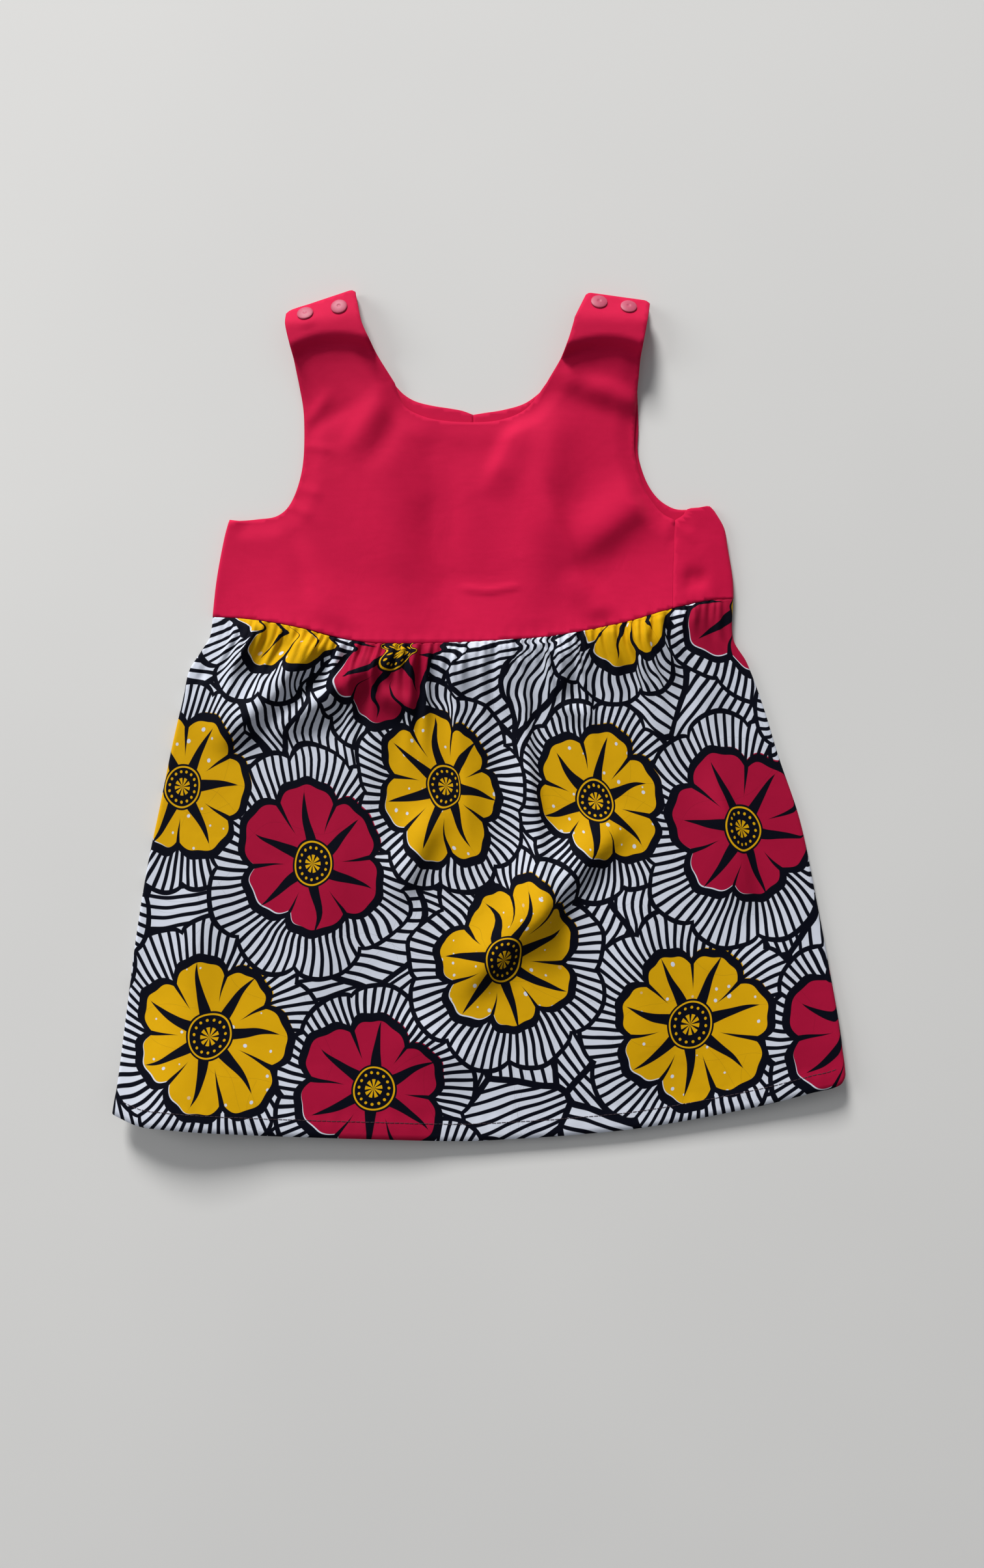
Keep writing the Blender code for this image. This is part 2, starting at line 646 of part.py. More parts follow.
def cloth_object(name, outline, points, lines, place, wall, material):
    """A wall of cloth: the outline filled with triangles, placed, and thickened both ways.

    The mesh's edges follow the lines, which are runs of points along tight folds.
    """
    corners = outline + points
    edges = [(i, (i + 1) % len(outline)) for i in range(len(outline))]
    for line in lines:
        edges += [(len(corners) + i, len(corners) + i + 1) for i in range(len(line) - 1)]
        corners = corners + line
    flat, _, faces, *_ = delaunay_2d_cdt(corners, edges, [], 1, 1e-4)
    upper, lower = [], []
    for point in flat:
        middle = place(point.x, point.y)
        across = place(point.x + NORMAL_REACH, point.y) - place(point.x - NORMAL_REACH, point.y)
        upward = place(point.x, point.y + NORMAL_REACH) - place(point.x, point.y - NORMAL_REACH)
        normal = across.cross(upward).normalized()
        upper.append((middle + normal * wall / 2) * MM)
        lower.append((middle - normal * wall / 2) * MM)
    mesh = bpy.data.meshes.new(name)
    build = bmesh.new()
    top = [build.verts.new(point) for point in upper]
    bottom = [build.verts.new(point) for point in lower]
    for face in faces:
        build.faces.new([top[i] for i in face])
        build.faces.new([bottom[i] for i in reversed(face)])
    open_edges = [edge for edge in build.edges if len(edge.link_faces) == 1]
    number = {vert: i for i, vert in enumerate(top)}
    for edge in open_edges:
        face = edge.link_faces[0]
        loop = next(loop for loop in face.loops if loop.edge == edge)
        start, end = loop.vert, loop.link_loop_next.vert
        if start in number:
            i, j = number[start], number[end]
            build.faces.new([top[j], top[i], bottom[i], bottom[j]])
    bmesh.ops.triangulate(build, faces=build.faces[:])
    build.to_mesh(mesh)
    build.free()
    mesh.materials.append(material)
    mesh.shade_smooth()
    mesh.set_sharp_from_angle(angle=math.radians(SHARP_EDGE))
    item = bpy.data.objects.new(name, mesh)
    bpy.context.collection.objects.link(item)


def fabric(name, colour, roughness):
    """A plain cloth or plastic material."""
    material = bpy.data.materials.new(name)
    material.use_nodes = True
    shader = material.node_tree.nodes["Principled BSDF"]
    shader.inputs["Base Color"].default_value = (*colour, 1.0)
    shader.inputs["Roughness"].default_value = roughness
    shader.inputs["Metallic"].default_value = 0.0
    return material


def spaced(points):
    """The points without those that lie on the one before."""
    kept = []
    for point in points:
        if not kept or (point - kept[-1]).length > 0.5:
            kept.append(point)
    if (kept[0] - kept[-1]).length < 0.5:
        kept.pop()
    return kept


def shifted(rows, x=0.0, y=0.0):
    """A run of rows moved on the page."""
    return [Row(row.x + x, row.y + y) for row in rows]


def waist_run(start_x, end_x, offset):
    """Points along the waist seam between two places, moved up or down off it."""
    count = max(2, round(abs(end_x - start_x) / EDGE_STEP))
    places = [start_x + (end_x - start_x) * k / count for k in range(count + 1)]
    return [Vector((x, waist(x) + offset)) for x in places]


def level_run(levels, x=0.0):
    """Points along an edge given by its levels, moved across."""
    return along([Row(level.x + x, level.y) for level in levels])


def return_end(side, x):
    """Level at which a back strap ends, under the front strap and past the snaps."""
    first, second = SNAP_PLACES[side]
    share = (x - first.x) / (second.x - first.x)
    return first.y + (second.y - first.y) * share - STRAP_TAIL


def strap_run(side, inset, folded):
    """Outline up the right edge of a strap, over its end and down its left edge."""
    up = [Vector((strap_edges(side, y)[1] - inset, y)) for y in STRAP_STATIONS]
    down = [Vector((strap_edges(side, y)[0] + inset, y)) for y in reversed(STRAP_STATIONS)]
    low, high = strap_edges(side, STRAP_TOP)
    end = []
    for k in range(STRAP_END_COUNT + 1):
        share = 1.0 - k / STRAP_END_COUNT
        x = low + inset + (high - low - 2 * inset) * share
        y = hump_at(side, share).end_y
        if folded:
            fold_y, radius = strap_fold(side, x)
            y = 2 * fold_y + math.pi * radius - return_end(side, x)
        end.append(Vector((x, y)))
    if folded:
        end = fold_edge(side, end[0]) + end + fold_edge(side, end[-1])[::-1]
    return up + end + down


def fold_edge(side, corner):
    """Points up one edge of a back strap's flat pattern, over its shoulder fold to a corner."""
    fold_y, radius = strap_fold(side, corner.x)
    points = [Vector((corner.x, fold_y + math.pi * radius * turn)) for turn in SHOULDER_TURNS]
    last = points[-1]
    count = max(2, round((corner.y - last.y) / STRAP_STEP))
    points += [last + (corner - last) * k / count for k in range(1, count)]
    return points


def ring_places(place):
    """Centre and ring of places under one snap."""
    turns = [2 * math.pi * (k + 0.5) / SNAP_RING_COUNT for k in range(SNAP_RING_COUNT)]
    ring = [Vector((place.x + SNAP_RING * math.cos(turn), place.y + SNAP_RING * math.sin(turn)))
            for turn in turns]
    return [Vector((place.x, place.y))] + ring


def on_pattern(side, point):
    """Place on a back strap's flat pattern of a place under the front strap."""
    p = point.x
    for _ in range(8):
        p = point.x - strap_shift(side, p, point.y)
    fold_y, radius = strap_fold(side, p)
    return Vector((p, 2 * fold_y + math.pi * radius - point.y))


def snap_points(outline, folded):
    """Mesh points that keep the cloth flat under the snaps."""
    points = []
    for side, places in SNAP_PLACES.items():
        for place in places:
            ring = ring_places(place)
            if folded:
                ring = [on_pattern(side, point) for point in ring]
            points += [point for point in ring
                       if inside(outline, point) and edge_distance(outline, point.x, point.y) > 1.2]
    return points


def roll_lines(outline, levels, radius, to_right=1.0):
    """Lines of mesh points along a rounded side edge, straight in from the outline's own points."""
    lines = []
    for turn in ROLL_TURNS:
        line = []
        for edge_point in outline:
            on_edge = between(levels, edge_point.y) - to_right * roll_spare(radius)
            if abs(edge_point.x - on_edge) > 0.2:
                continue
            point = Vector((edge_point.x + to_right * turn * radius * math.pi / 2, edge_point.y))
            if inside(outline, point) and edge_distance(outline, point.x, point.y) > LINE_CLEAR:
                line.append(point)
        lines.append(sorted(line, key=lambda point: point.y))
    return lines


def joined(lines):
    """All the points of some lines."""
    return [point for line in lines for point in line]


def clear_of(points, others, reach):
    """The points that lie further than the reach from all the others."""
    return [point for point in points
            if all((point - other).length > reach for other in others)]


def build_bodice_front(material):
    """The front bodice with both front straps."""
    radius = FRONT_ROLL
    half = SEAM_GAP / 2
    seam = level_run(RIGHT_SEAM, -half)
    outline = waist_run(WAIST[0].x, seam[0].x, half)
    outline[0].x -= roll_spare(radius)
    outline += seam[1:-1]
    outline += along(shifted(FRONT_ARMHOLE_RIGHT[::-1], x=-half))
    outline += strap_run("right", 0.0, False)
    outline += along(FRONT_NECK[::-1])
    outline += strap_run("left", 0.0, False)
    outline += along(FRONT_ARMHOLE_LEFT)
    outline += level_run(BODICE_LEFT[::-1], -roll_spare(radius))[:-1]
    outline = spaced(outline)
    snaps = snap_points(outline, False)
    lines = roll_lines(outline, BODICE_LEFT, radius)
    loose = scattered(outline, BODICE_STEP, BODICE_CLEAR, lambda point: point.y < STRAP_ROOT)
    loose += scattered(outline, STRAP_STEP, STRAP_CLEAR, lambda point: point.y >= STRAP_ROOT)
    points = snaps + clear_of(loose, snaps + joined(lines), STRAP_CLEAR)
    cloth_object("bodice_front", outline, points, lines, place_bodice_front, BODICE_WALL, material)


def build_bodice_back_left(material):
    """The left back half with its strap, rounded up to the side seam."""
    radius = BODICE_BACK_ROLL
    half = SEAM_GAP / 2
    centre = BACK_NECK_CENTRE - half
    outline = waist_run(WAIST[0].x, centre, half)
    outline[0].x -= roll_spare(radius)
    outline += along([Row(centre, waist(centre) + half), Row(centre, BACK_NECK_LEFT[-1].y)], BACK_STEP)[1:-1]
    outline += along(shifted(BACK_NECK_LEFT[::-1], x=-half))
    outline += strap_run("left", BACK_EDGE_INSET, True)
    outline += along(shifted(FRONT_ARMHOLE_LEFT, x=BACK_EDGE_INSET, y=-BACK_EDGE_INSET))
    outline += level_run(lowered(BODICE_LEFT, BACK_EDGE_INSET)[::-1], -roll_spare(radius))[:-1]
    outline = spaced(outline)
    snaps = snap_points(outline, True)
    lines = roll_lines(outline, BODICE_LEFT, radius) + shoulder_lines("left")
    loose = scattered(outline, BACK_STEP, BACK_CLEAR, lambda point: point.y < STRAP_ROOT)
    loose += scattered(outline, STRAP_STEP, STRAP_CLEAR, lambda point: point.y >= RETURN_START)
    points = snaps + clear_of(loose, snaps + joined(lines), STRAP_CLEAR)
    cloth_object("bodice_back_left", outline, points, lines, place_bodice_back, BODICE_WALL, material)


def lowered(levels, drop):
    """The levels of an edge with its top end lowered."""
    return levels[:-1] + [Level(levels[-1].y - drop, levels[-1].x)]


def bend_run(level_at, turns):
    """Points across the side fold along an edge whose level is known by its place across."""
    points = []
    for turn in turns:
        angle = math.pi * turn
        y = level_at(fold_centre(level_at(WAIST[-1].x)) + WRAP_RADIUS * math.sin(angle))
        points.append(Vector((fold_centre(y) + WRAP_RADIUS * angle, y)))
    return points


def side_fold_lines(outline):
    """Lines of mesh points up the side fold, at the turns of its bend and on both flat sides."""
    low, top = WAIST[-1].y, BODICE_RIGHT[-1].y
    lines = []
    for turn in (-0.5, 0.0) + WRAP_TURNS + (1.0, 1.5):
        line = []
        for share in SIDE_FOLD_STATIONS:
            y = low + (top - low) * share
            point = Vector((fold_centre(y) + WRAP_RADIUS * math.pi * turn, y))
            if inside(outline, point) and edge_distance(outline, point.x, point.y) > LINE_CLEAR:
                line.append(point)
        lines.append(line)
    return lines


def build_bodice_back_right(material):
    """The right back half with its strap, folded round the side to the seam on the front."""
    half = SEAM_GAP / 2
    centre = BACK_NECK_CENTRE + half
    fold_foot = fold_centre(WAIST[-1].y)
    outline = waist_run(centre, fold_foot, half)
    outline += bend_run(lambda x: waist(x) + half, WRAP_TURNS)
    outline += [wrapped(point.x, point.y)
                for point in waist_run(fold_foot, between(RIGHT_SEAM, 70.0) + half, half)]
    outline += [wrapped(point.x, point.y) for point in level_run(RIGHT_SEAM, half)[1:]]
    corner = BODICE_RIGHT[-1]
    top = [row for row in WRAP_TOP[::-1] if row.x < corner.x - CORNER_REACH]
    outline += [wrapped(point.x, point.y) for point in along(shifted(top, x=half))]
    outline += [wrapped(corner.x - WRAP_RADIUS, corner.y)]
    outline += bend_run(lambda x: corner.y, WRAP_TURNS[::-1])
    outline += [Vector((corner.x - WRAP_RADIUS, corner.y))]
    armhole = [row for row in BACK_ARMHOLE_RIGHT[::-1] if row.x < corner.x - CORNER_REACH]
    outline += along(armhole)
    outline += strap_run("right", BACK_EDGE_INSET, True)
    outline += along(shifted(BACK_NECK_RIGHT[::-1], x=half))
    outline += along([Row(centre, BACK_NECK_RIGHT[0].y), Row(centre, waist(centre) + half)], BACK_STEP)[1:-1]
    outline = spaced(outline)
    snaps = snap_points(outline, True)
    lines = shoulder_lines("right") + side_fold_lines(outline)
    wrap_start = BODICE_RIGHT[0].x
    loose = scattered(outline, BACK_STEP, BACK_CLEAR,
                      lambda point: point.y < STRAP_ROOT and point.x < wrap_start)
    loose += scattered(outline, BODICE_STEP, BODICE_CLEAR, lambda point: point.x >= wrap_start)
    loose += scattered(outline, STRAP_STEP, STRAP_CLEAR, lambda point: point.y >= RETURN_START)
    points = snaps + clear_of(loose, snaps + joined(lines), STRAP_CLEAR)
    cloth_object("bodice_back_right", outline, points, lines, place_bodice_back, BODICE_WALL, material)


def shoulder_lines(side):
    """Lines of mesh points across a back strap along the turns of its shoulder fold."""
    low, high = strap_edges(side, STRAP_TOP)
    low, high = low + BACK_EDGE_INSET, high - BACK_EDGE_INSET
    lines = []
    for turn in SHOULDER_TURNS:
        line = []
        for k in range(STRAP_END_COUNT + 1):
            p = low + (high - low) * k / STRAP_END_COUNT
            fold_y, radius = strap_fold(side, p)
            line.append(Vector((p, fold_y + math.pi * radius * turn)))
        lines.append(line)
    return lines


def gather_points():
    """Mesh points on the crests, troughs and flanks of the gathers."""
    points = []
    shares = []
    for start, stop in zip(GATHER_CENTRES, GATHER_CENTRES[1:]):
        shares += [start + (stop - start) * k / 4 for k in range(4)]
    for drop in GATHER_ROWS + GATHER_LOOSE_ROWS:
        step = 1 if drop in GATHER_ROWS else 2
        for share in shares[step::step]:
            x = WAIST[0].x + (WAIST[-1].x - WAIST[0].x) * share
            y = waist(x) - drop
            x = between(SKIRT_LEFT, y) * (1.0 - share) + between(SKIRT_RIGHT, y) * share
            points.append(Vector((x, waist(x) - drop)))
    return points


def fold_line_points(folds):
    """Mesh points along the crest and flanks of each soft fold."""
    points = []
    for fold in folds:
        start = Vector((fold.x1, fold.y1))
        run = Vector((fold.x2 - fold.x1, fold.y2 - fold.y1))
        across = Vector((-run.y, run.x)).normalized()
        count = max(2, round(run.length / SKIRT_STEP))
        for k in range(count + 1):
            for side in (-1.1 * fold.left, -0.5 * fold.left, 0.0, 0.5 * fold.right, 1.1 * fold.right):
                points.append(start + run * k / count + across * side)
    return points


def skirt_outline(radius, hem_rise, edge_in):
    """Outline of a skirt layer on its flat pattern."""
    half = SEAM_GAP / 2
    spare = roll_spare(radius)
    top_left, top_right = WAIST[0].x, WAIST[-1].x
    outline = along(shifted(HEM, y=hem_rise))
    outline[0].x += edge_in - spare
    outline[-1].x += spare - edge_in
    outline += level_run(SKIRT_RIGHT[-2:0:-1], spare)
    waist_points = waist_run(top_right, top_left, -half)
    waist_points[0].x += spare
    waist_points[-1].x -= spare
    outline += waist_points
    outline += level_run(SKIRT_LEFT[1:-1], -spare)
    return spaced(outline)


def build_skirt_front(material):
    """The gathered front of the skirt."""
    radius = FRONT_ROLL
    outline = skirt_outline(radius, 0.0, 0.0)
    lines = roll_lines(outline, SKIRT_LEFT, radius) + roll_lines(outline, SKIRT_RIGHT, radius, -1.0)
    fixed = joined(lines)
    gathers = [point for point in gather_points() if inside(outline, point)
               and edge_distance(outline, point.x, point.y) > GATHER_CLEAR]
    fixed += clear_of(gathers, fixed, GATHER_CLEAR)
    below = [point for point in fold_line_points(SKIRT_FOLDS)
             if waist(point.x) - point.y > GATHER_LOOSE_ROWS[-1] + BODICE_CLEAR
             and inside(outline, point) and edge_distance(outline, point.x, point.y) > BODICE_CLEAR]
    for point in below:
        if all((point - other).length > BODICE_CLEAR for other in fixed):
            fixed.append(point)
    loose = scattered(outline, SKIRT_STEP, SKIRT_CLEAR,
                      lambda point: waist(point.x) - point.y > GATHER_LOOSE_ROWS[-1] + SKIRT_CLEAR)
    points = fixed + clear_of(loose, fixed, SKIRT_CLEAR)
    place = place_skirt(radius, skirt_level)
    cloth_object("skirt_front", outline, points, lines, place, SKIRT_WALL, material)


def build_skirt_back(material):
    """The back of the skirt, flat on the surface and lifted with the front along the hem."""
    radius = SKIRT_BACK_ROLL
    outline = skirt_outline(radius, BACK_HEM_RISE, BACK_HEM_INSET)
    lines = roll_lines(outline, SKIRT_LEFT, radius) + roll_lines(outline, SKIRT_RIGHT, radius, -1.0)
    loose = scattered(outline, BACK_STEP, BACK_CLEAR)
    points = clear_of(loose, joined(lines), SKIRT_CLEAR)
    place = place_skirt(-radius, lambda x, y: SKIRT_BACK_LEVEL)
    cloth_object("skirt_back", outline, points, lines, place, SKIRT_WALL, material)


def turned(name, profile, count, material, ring=False):
    """A round piece: a profile of radius and height rows spun about the z axis."""
    mesh = bpy.data.meshes.new(name)
    build = bmesh.new()
    verts = [build.verts.new((radius * MM, 0.0, height * MM)) for radius, height in profile]
    pairs = list(zip(verts, verts[1:]))
    if ring:
        pairs.append((verts[-1], verts[0]))
    edges = [build.edges.new(pair) for pair in pairs]
    bmesh.ops.spin(build, geom=verts + edges, axis=(0.0, 0.0, 1.0), cent=(0.0, 0.0, 0.0),
                   angle=2 * math.pi, steps=count)
    bmesh.ops.remove_doubles(build, verts=build.verts[:], dist=1e-6)
    bmesh.ops.recalc_face_normals(build, faces=build.faces[:])
    build.to_mesh(mesh)
    build.free()
    mesh.materials.append(material)
    mesh.shade_smooth()
    mesh.set_sharp_from_angle(angle=math.radians(SHARP_EDGE))
    item = bpy.data.objects.new(name, mesh)
    bpy.context.collection.objects.link(item)
    return item


def build_snap(name, side, number, material):
    """One closed snap: cap and socket on the front strap, stud and back cap on the back strap."""
    place = SNAP_PLACES[side][number]
    level, slope_x, slope_y = SNAP_PLANES[side][number]
    up = Vector((-slope_x, -slope_y, 1.0)).normalized()
    face = BODICE_WALL / 2 + SEAM_GAP
    socket_foot = -face - SOCKET_HEIGHT
    stud_top = socket_foot - SEAM_GAP
    stud_foot = stud_top - STUD_FLANGE
    back_face = stud_foot - BODICE_WALL - 2 * SEAM_GAP
    cap = [(0.0, face), (CAP_RADIUS - CAP_CHAMFER, face), (CAP_RADIUS, face + CAP_CHAMFER),
           (CAP_RADIUS - CAP_CHAMFER, face + CAP_RIM), (CAP_RADIUS * 0.6, face + CAP_RIM + CAP_DOME * 0.75),
           (0.0, face + CAP_RIM + CAP_DOME)]
    socket = [(SOCKET_HOLE, -face), (SOCKET_RADIUS, -face), (SOCKET_RADIUS, socket_foot),
              (SOCKET_HOLE, socket_foot)]
    stud = [(0.0, stud_foot), (SOCKET_RADIUS, stud_foot), (SOCKET_RADIUS, stud_top),
            (STUD_POST_RADIUS, stud_top), (STUD_POST_RADIUS, stud_top + STUD_POST_HEIGHT),
            (0.0, stud_top + STUD_POST_HEIGHT)]
    back_cap = [(0.0, back_face), (BACK_CAP_RADIUS, back_face),
                (BACK_CAP_RADIUS, back_face - BACK_CAP_EDGE),
                (BACK_CAP_RADIUS * 0.6, back_face - BACK_CAP_DEPTH), (0.0, back_face - BACK_CAP_DEPTH)]
    pieces = [
        turned(name + "_cap", cap, 16, material),
        turned(name + "_socket", socket, 10, material, ring=True),
        turned(name + "_stud", stud, 10, material),
        turned(name + "_back_cap", back_cap, 10, material),
    ]
    for piece in pieces:
        piece.location = Vector((place.x, place.y, level)) * MM
        piece.rotation_mode = "QUATERNION"
        piece.rotation_quaternion = up.to_track_quat("Z", "Y")


def centre_all():
    """Moves every piece so that the origin is under the middle of the whole dress."""
    bpy.context.view_layer.update()
    corners = [item.matrix_world @ vert.co for item in bpy.data.objects for vert in item.data.vertices]
    low = Vector([min(corner[axis] for corner in corners) for axis in range(3)])
    high = Vector([max(corner[axis] for corner in corners) for axis in range(3)])
    shift = Vector((-(low.x + high.x) / 2, -(low.y + high.y) / 2, -low.z))
    for item in bpy.data.objects:
        item.location += shift


def main():
    """Builds the dress in an empty scene."""
    for item in list(bpy.data.objects):
        bpy.data.objects.remove(item)
    cotton = fabric("crimson_cotton", (0.56, 0.012, 0.06), 0.85)
    print_cotton = fabric("wax_print_cotton", (0.62, 0.55, 0.45), 0.75)
    plastic = fabric("snap_plastic", (0.55, 0.08, 0.16), 0.35)
    build_bodice_front(cotton)
    build_bodice_back_left(cotton)
    build_bodice_back_right(cotton)
    build_skirt_front(print_cotton)
    build_skirt_back(print_cotton)
    for side in ("left", "right"):
        for number in (0, 1):
            build_snap(f"snap_{side}_{number + 1}", side, number, plastic)
    centre_all()


main()
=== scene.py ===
"""Looks of a child's sleeveless dress, laid flat with its front up.

The shells of cloth are worked out on the page in millimetres, as in the part: x to the right, y towards
the neck and z up from the surface. Where a piece is folded over or rolled in, p and q are places on its
flat cloth, across and up the page. Tables give the edges and the folds, and the gathers are worked out.
"""

import math
from collections import namedtuple

import bmesh
import bpy
import numpy as np
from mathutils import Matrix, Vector
from mathutils.geometry import delaunay_2d_cdt


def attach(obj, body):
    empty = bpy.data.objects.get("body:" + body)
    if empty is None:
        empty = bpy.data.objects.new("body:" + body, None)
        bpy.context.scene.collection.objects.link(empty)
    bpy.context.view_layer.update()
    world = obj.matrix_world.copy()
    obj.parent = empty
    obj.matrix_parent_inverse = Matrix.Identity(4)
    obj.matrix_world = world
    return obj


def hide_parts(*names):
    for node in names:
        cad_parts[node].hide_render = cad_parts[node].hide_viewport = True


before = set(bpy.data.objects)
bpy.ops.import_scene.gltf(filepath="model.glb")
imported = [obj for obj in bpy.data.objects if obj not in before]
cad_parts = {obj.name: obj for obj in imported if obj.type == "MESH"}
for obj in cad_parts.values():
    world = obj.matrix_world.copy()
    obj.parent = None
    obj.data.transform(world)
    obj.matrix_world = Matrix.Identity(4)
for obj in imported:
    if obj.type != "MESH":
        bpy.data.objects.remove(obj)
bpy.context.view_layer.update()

MM = 0.001
FULL_TURN = 2 * math.pi
PAGE_CENTRE_X = 1.4

# Levels of the layers, as in the part
SEAM_GAP = 0.3
BODICE_SOLID = 1.3
SKIRT_SOLID = 1.2
FRONT_LEVEL = 4.8
BACK_EDGE_INSET = 0.8
BACK_NECK_CENTRE = -2.6
EDGE_GAP = 0.5
BODICE_BACK_LEVEL = BODICE_SOLID / 2
SKIRT_BACK_LEVEL = SKIRT_SOLID / 2
SIDE_SEAM_LEVEL = 2.7
WRAP_RADIUS = (FRONT_LEVEL - BODICE_BACK_LEVEL) / 2
FRONT_ROLL = FRONT_LEVEL - SIDE_SEAM_LEVEL - SEAM_GAP / 2
BODICE_BACK_ROLL = SIDE_SEAM_LEVEL - SEAM_GAP / 2 - BODICE_BACK_LEVEL
SKIRT_BACK_ROLL = SIDE_SEAM_LEVEL - SEAM_GAP / 2 - SKIRT_BACK_LEVEL

# Thickness of the cloth that shows, and the depth, soft edge and low ridge of the turned hem
BODICE_WALL = 1.1
SKIRT_WALL = 0.5
HEM_WALL = 1.0
HEM_DEPTH = 12.0
HEM_SOFTNESS = 0.8
HEM_RIDGE = 0.35
HEM_RIDGE_INNER = 1.6
HEM_RIDGE_OUTER = 0.4

# Rounding of the cloth's edges, as shares of its thickness, and how much of it the side seam keeps
RIM_INSET = 0.14
RIM_BULGE = 0.12
SEAM_ROUNDING = 0.3

# Space that the snaps hold open between the straps, and the flat patch under each snap
SOCKET_HEIGHT = 1.4
STUD_FLANGE = 0.8
STRAP_SPACE = 3 * SEAM_GAP + SOCKET_HEIGHT + STUD_FLANGE
STRAP_DROP = STRAP_SPACE + BODICE_SOLID
SNAP_FLAT_RADIUS = 6.2
SNAP_BLEND_RADIUS = 10.5
SLOPE_REACH = 2.0
SLOPE_STEP = 0.5

# Levels and stations of the straps, their rounded ends, and the folds of the back straps
STRAP_TOP = 278.0
STRAP_TAIL = 8.0
STRAP_STATIONS = tuple(222.0 + 3.0 * k for k in range(13))
STRAP_END_COUNT = 24
STRAP_END_INSET = 1.0
STRAP_CORNER = 0.08
STRAP_CORNER_DROP = 2.2
STRAP_FOOT = 200.0
STRAP_START = 219.2
STRAP_HALFWAY = 240.0
RETURN_START = 235.0
RIDGE_CROWN = 0.35
FOLD_OVERHANG = 1.2
FOLD_EASE = 1.18
FOLD_SETTLE = 2.5

# Foot of the side seam on the front, and where what holds the cloth up beside it fades out
SEAM_FOOT = 70.0
SEAM_TOP = 120.0
SEAM_END = 150.0

# Caps as they are moulded: the foot above the strap's middle, the rim, and steps in and up to the dome
CAP_RADIUS = 5.35
CAP_SIDES = 48
CAP_FOOT = 0.6
CAP_RIM = 0.75
CAP_BEVEL = 0.12
CAP_SMOOTH_ANGLE = 40
CAP_STEPS = ((0.25, 0.14), (0.55, 0.16), (1.1, 0.2), (1.5, 0.14), (0.7, 0.02), (0.35, -0.16))

# Stitches of the hem
STITCH_PITCH = 3.2
STITCH_LENGTH = 2.5
STITCH_INSET = 0.8
STITCH_MARGIN = 7.0
STITCH_SIDES = 6
STITCH_TAPER = 0.5
STITCH_TIP = 0.6
THREAD_RADIUS = 0.24

# Lowest levels of the front layers, where they lie on the back ones, and how gently they reach them
BODICE_LOWEST = BODICE_SOLID + SEAM_GAP + BODICE_WALL / 2
SKIRT_LOWEST = SKIRT_SOLID + SEAM_GAP + SKIRT_WALL / 2
LAYER_EASE = 0.7

# Widths over which the soft folds fade out at the edges
NECK_FADE = 15.0
EDGE_FOLD_FADE = 4.0
EDGE_FOLD_START = 1.0
WAIST_FADE = 14.0
SEAM_FADE = 12.0
ROUND_FADE = 14.0
WRAP_SETTLE = 10.0
SKIRT_SIDE_FADE = 18.0
SKIRT_WAIST_FADE = 12.0

# Ends of the folds, as shares of their length, and how much the heights in their tables are raised
FOLD_TIP = 0.42
FOLD_FADE = 0.3
FOLD_GAIN = 1.9
BODICE_FOLD_GAIN = 2.4

# Mesh spacing, and stations as shares of a turn, a rise or a quarter roll
BODICE_STEP = 2.6
EDGE_STEP = 2.4
EDGE_CLEARANCE = 1.2
POINT_GAP = 0.5
TURNS = (0.0, 0.14, 0.28, 0.42, 0.56, 0.7, 0.84, 1.0)
FLAT_TURN = 0.6
QUARTERS = (0.25, 0.5, 0.75)
ROLL_STATIONS = (0.25, 0.5, 0.75, 1.0, 1.5)
SIDE_FOLD_ROWS = 26
SIDE_FOLD_CROWDING = 1.3
SIDE_FOLD_FOOT = 1.6
SIDE_FOLD_TOP = 1.2
CORNER_REACH = 3.0
SIDE_STATIONS = (0.0, 0.5, 1.0, 1.6, 2.4, 3.4)
SKIRT_COLUMNS = 360
WAIST_ROWS = 44
WAIST_ROW_STEP = 1.15
SKIRT_ROWS = 74

Row = namedtuple("Row", "x y")
Level = namedtuple("Level", "y x")
StrapLevel = namedtuple("StrapLevel", "y low high")
StrapEdge = namedtuple("StrapEdge", "ridge_y ridge_z end_y end_z")
Fold = namedtuple("Fold", "x1 y1 x2 y2 left right height")
Lift = namedtuple("Lift", "x rise")
Pucker = namedtuple("Pucker", "height wave drift middle reach")
Cut = namedtuple("Cut", "across along area")
Blossom = namedtuple("Blossom", "x y radius turn petals halo ink")
Cotton = namedtuple("Cotton", "pitch thread_rise thread_strength crumples crumple_rise crumple_strength")
Lamp = namedtuple("Lamp", "name place size power colour")

# Waist seam, left to right
WAIST = [
    Row(-174.5, 65.2), Row(-150.0, 63.2), Row(-116.0, 57.4), Row(-85.0, 49.6), Row(-60.0, 47.0),
    Row(-10.0, 47.7), Row(20.0, 49.4), Row(50.0, 51.8), Row(97.0, 60.8), Row(125.0, 69.0),
    Row(152.0, 75.6), Row(169.1, 77.2),
]

# Side edges of the bodice, from the waist up to the armhole
BODICE_LEFT = [Level(65.2, -174.5), Level(90.0, -171.7), Level(117.6, -166.6), Level(129.4, -163.4)]
BODICE_RIGHT = [
    Level(77.2, 169.1), Level(90.0, 168.7), Level(111.8, 165.2), Level(123.8, 163.0),
    Level(135.0, 156.6), Level(138.2, 153.6),
]
RIGHT_SEAM = [Level(69.6, 128.2), Level(100.0, 129.2), Level(129.0, 130.7)]

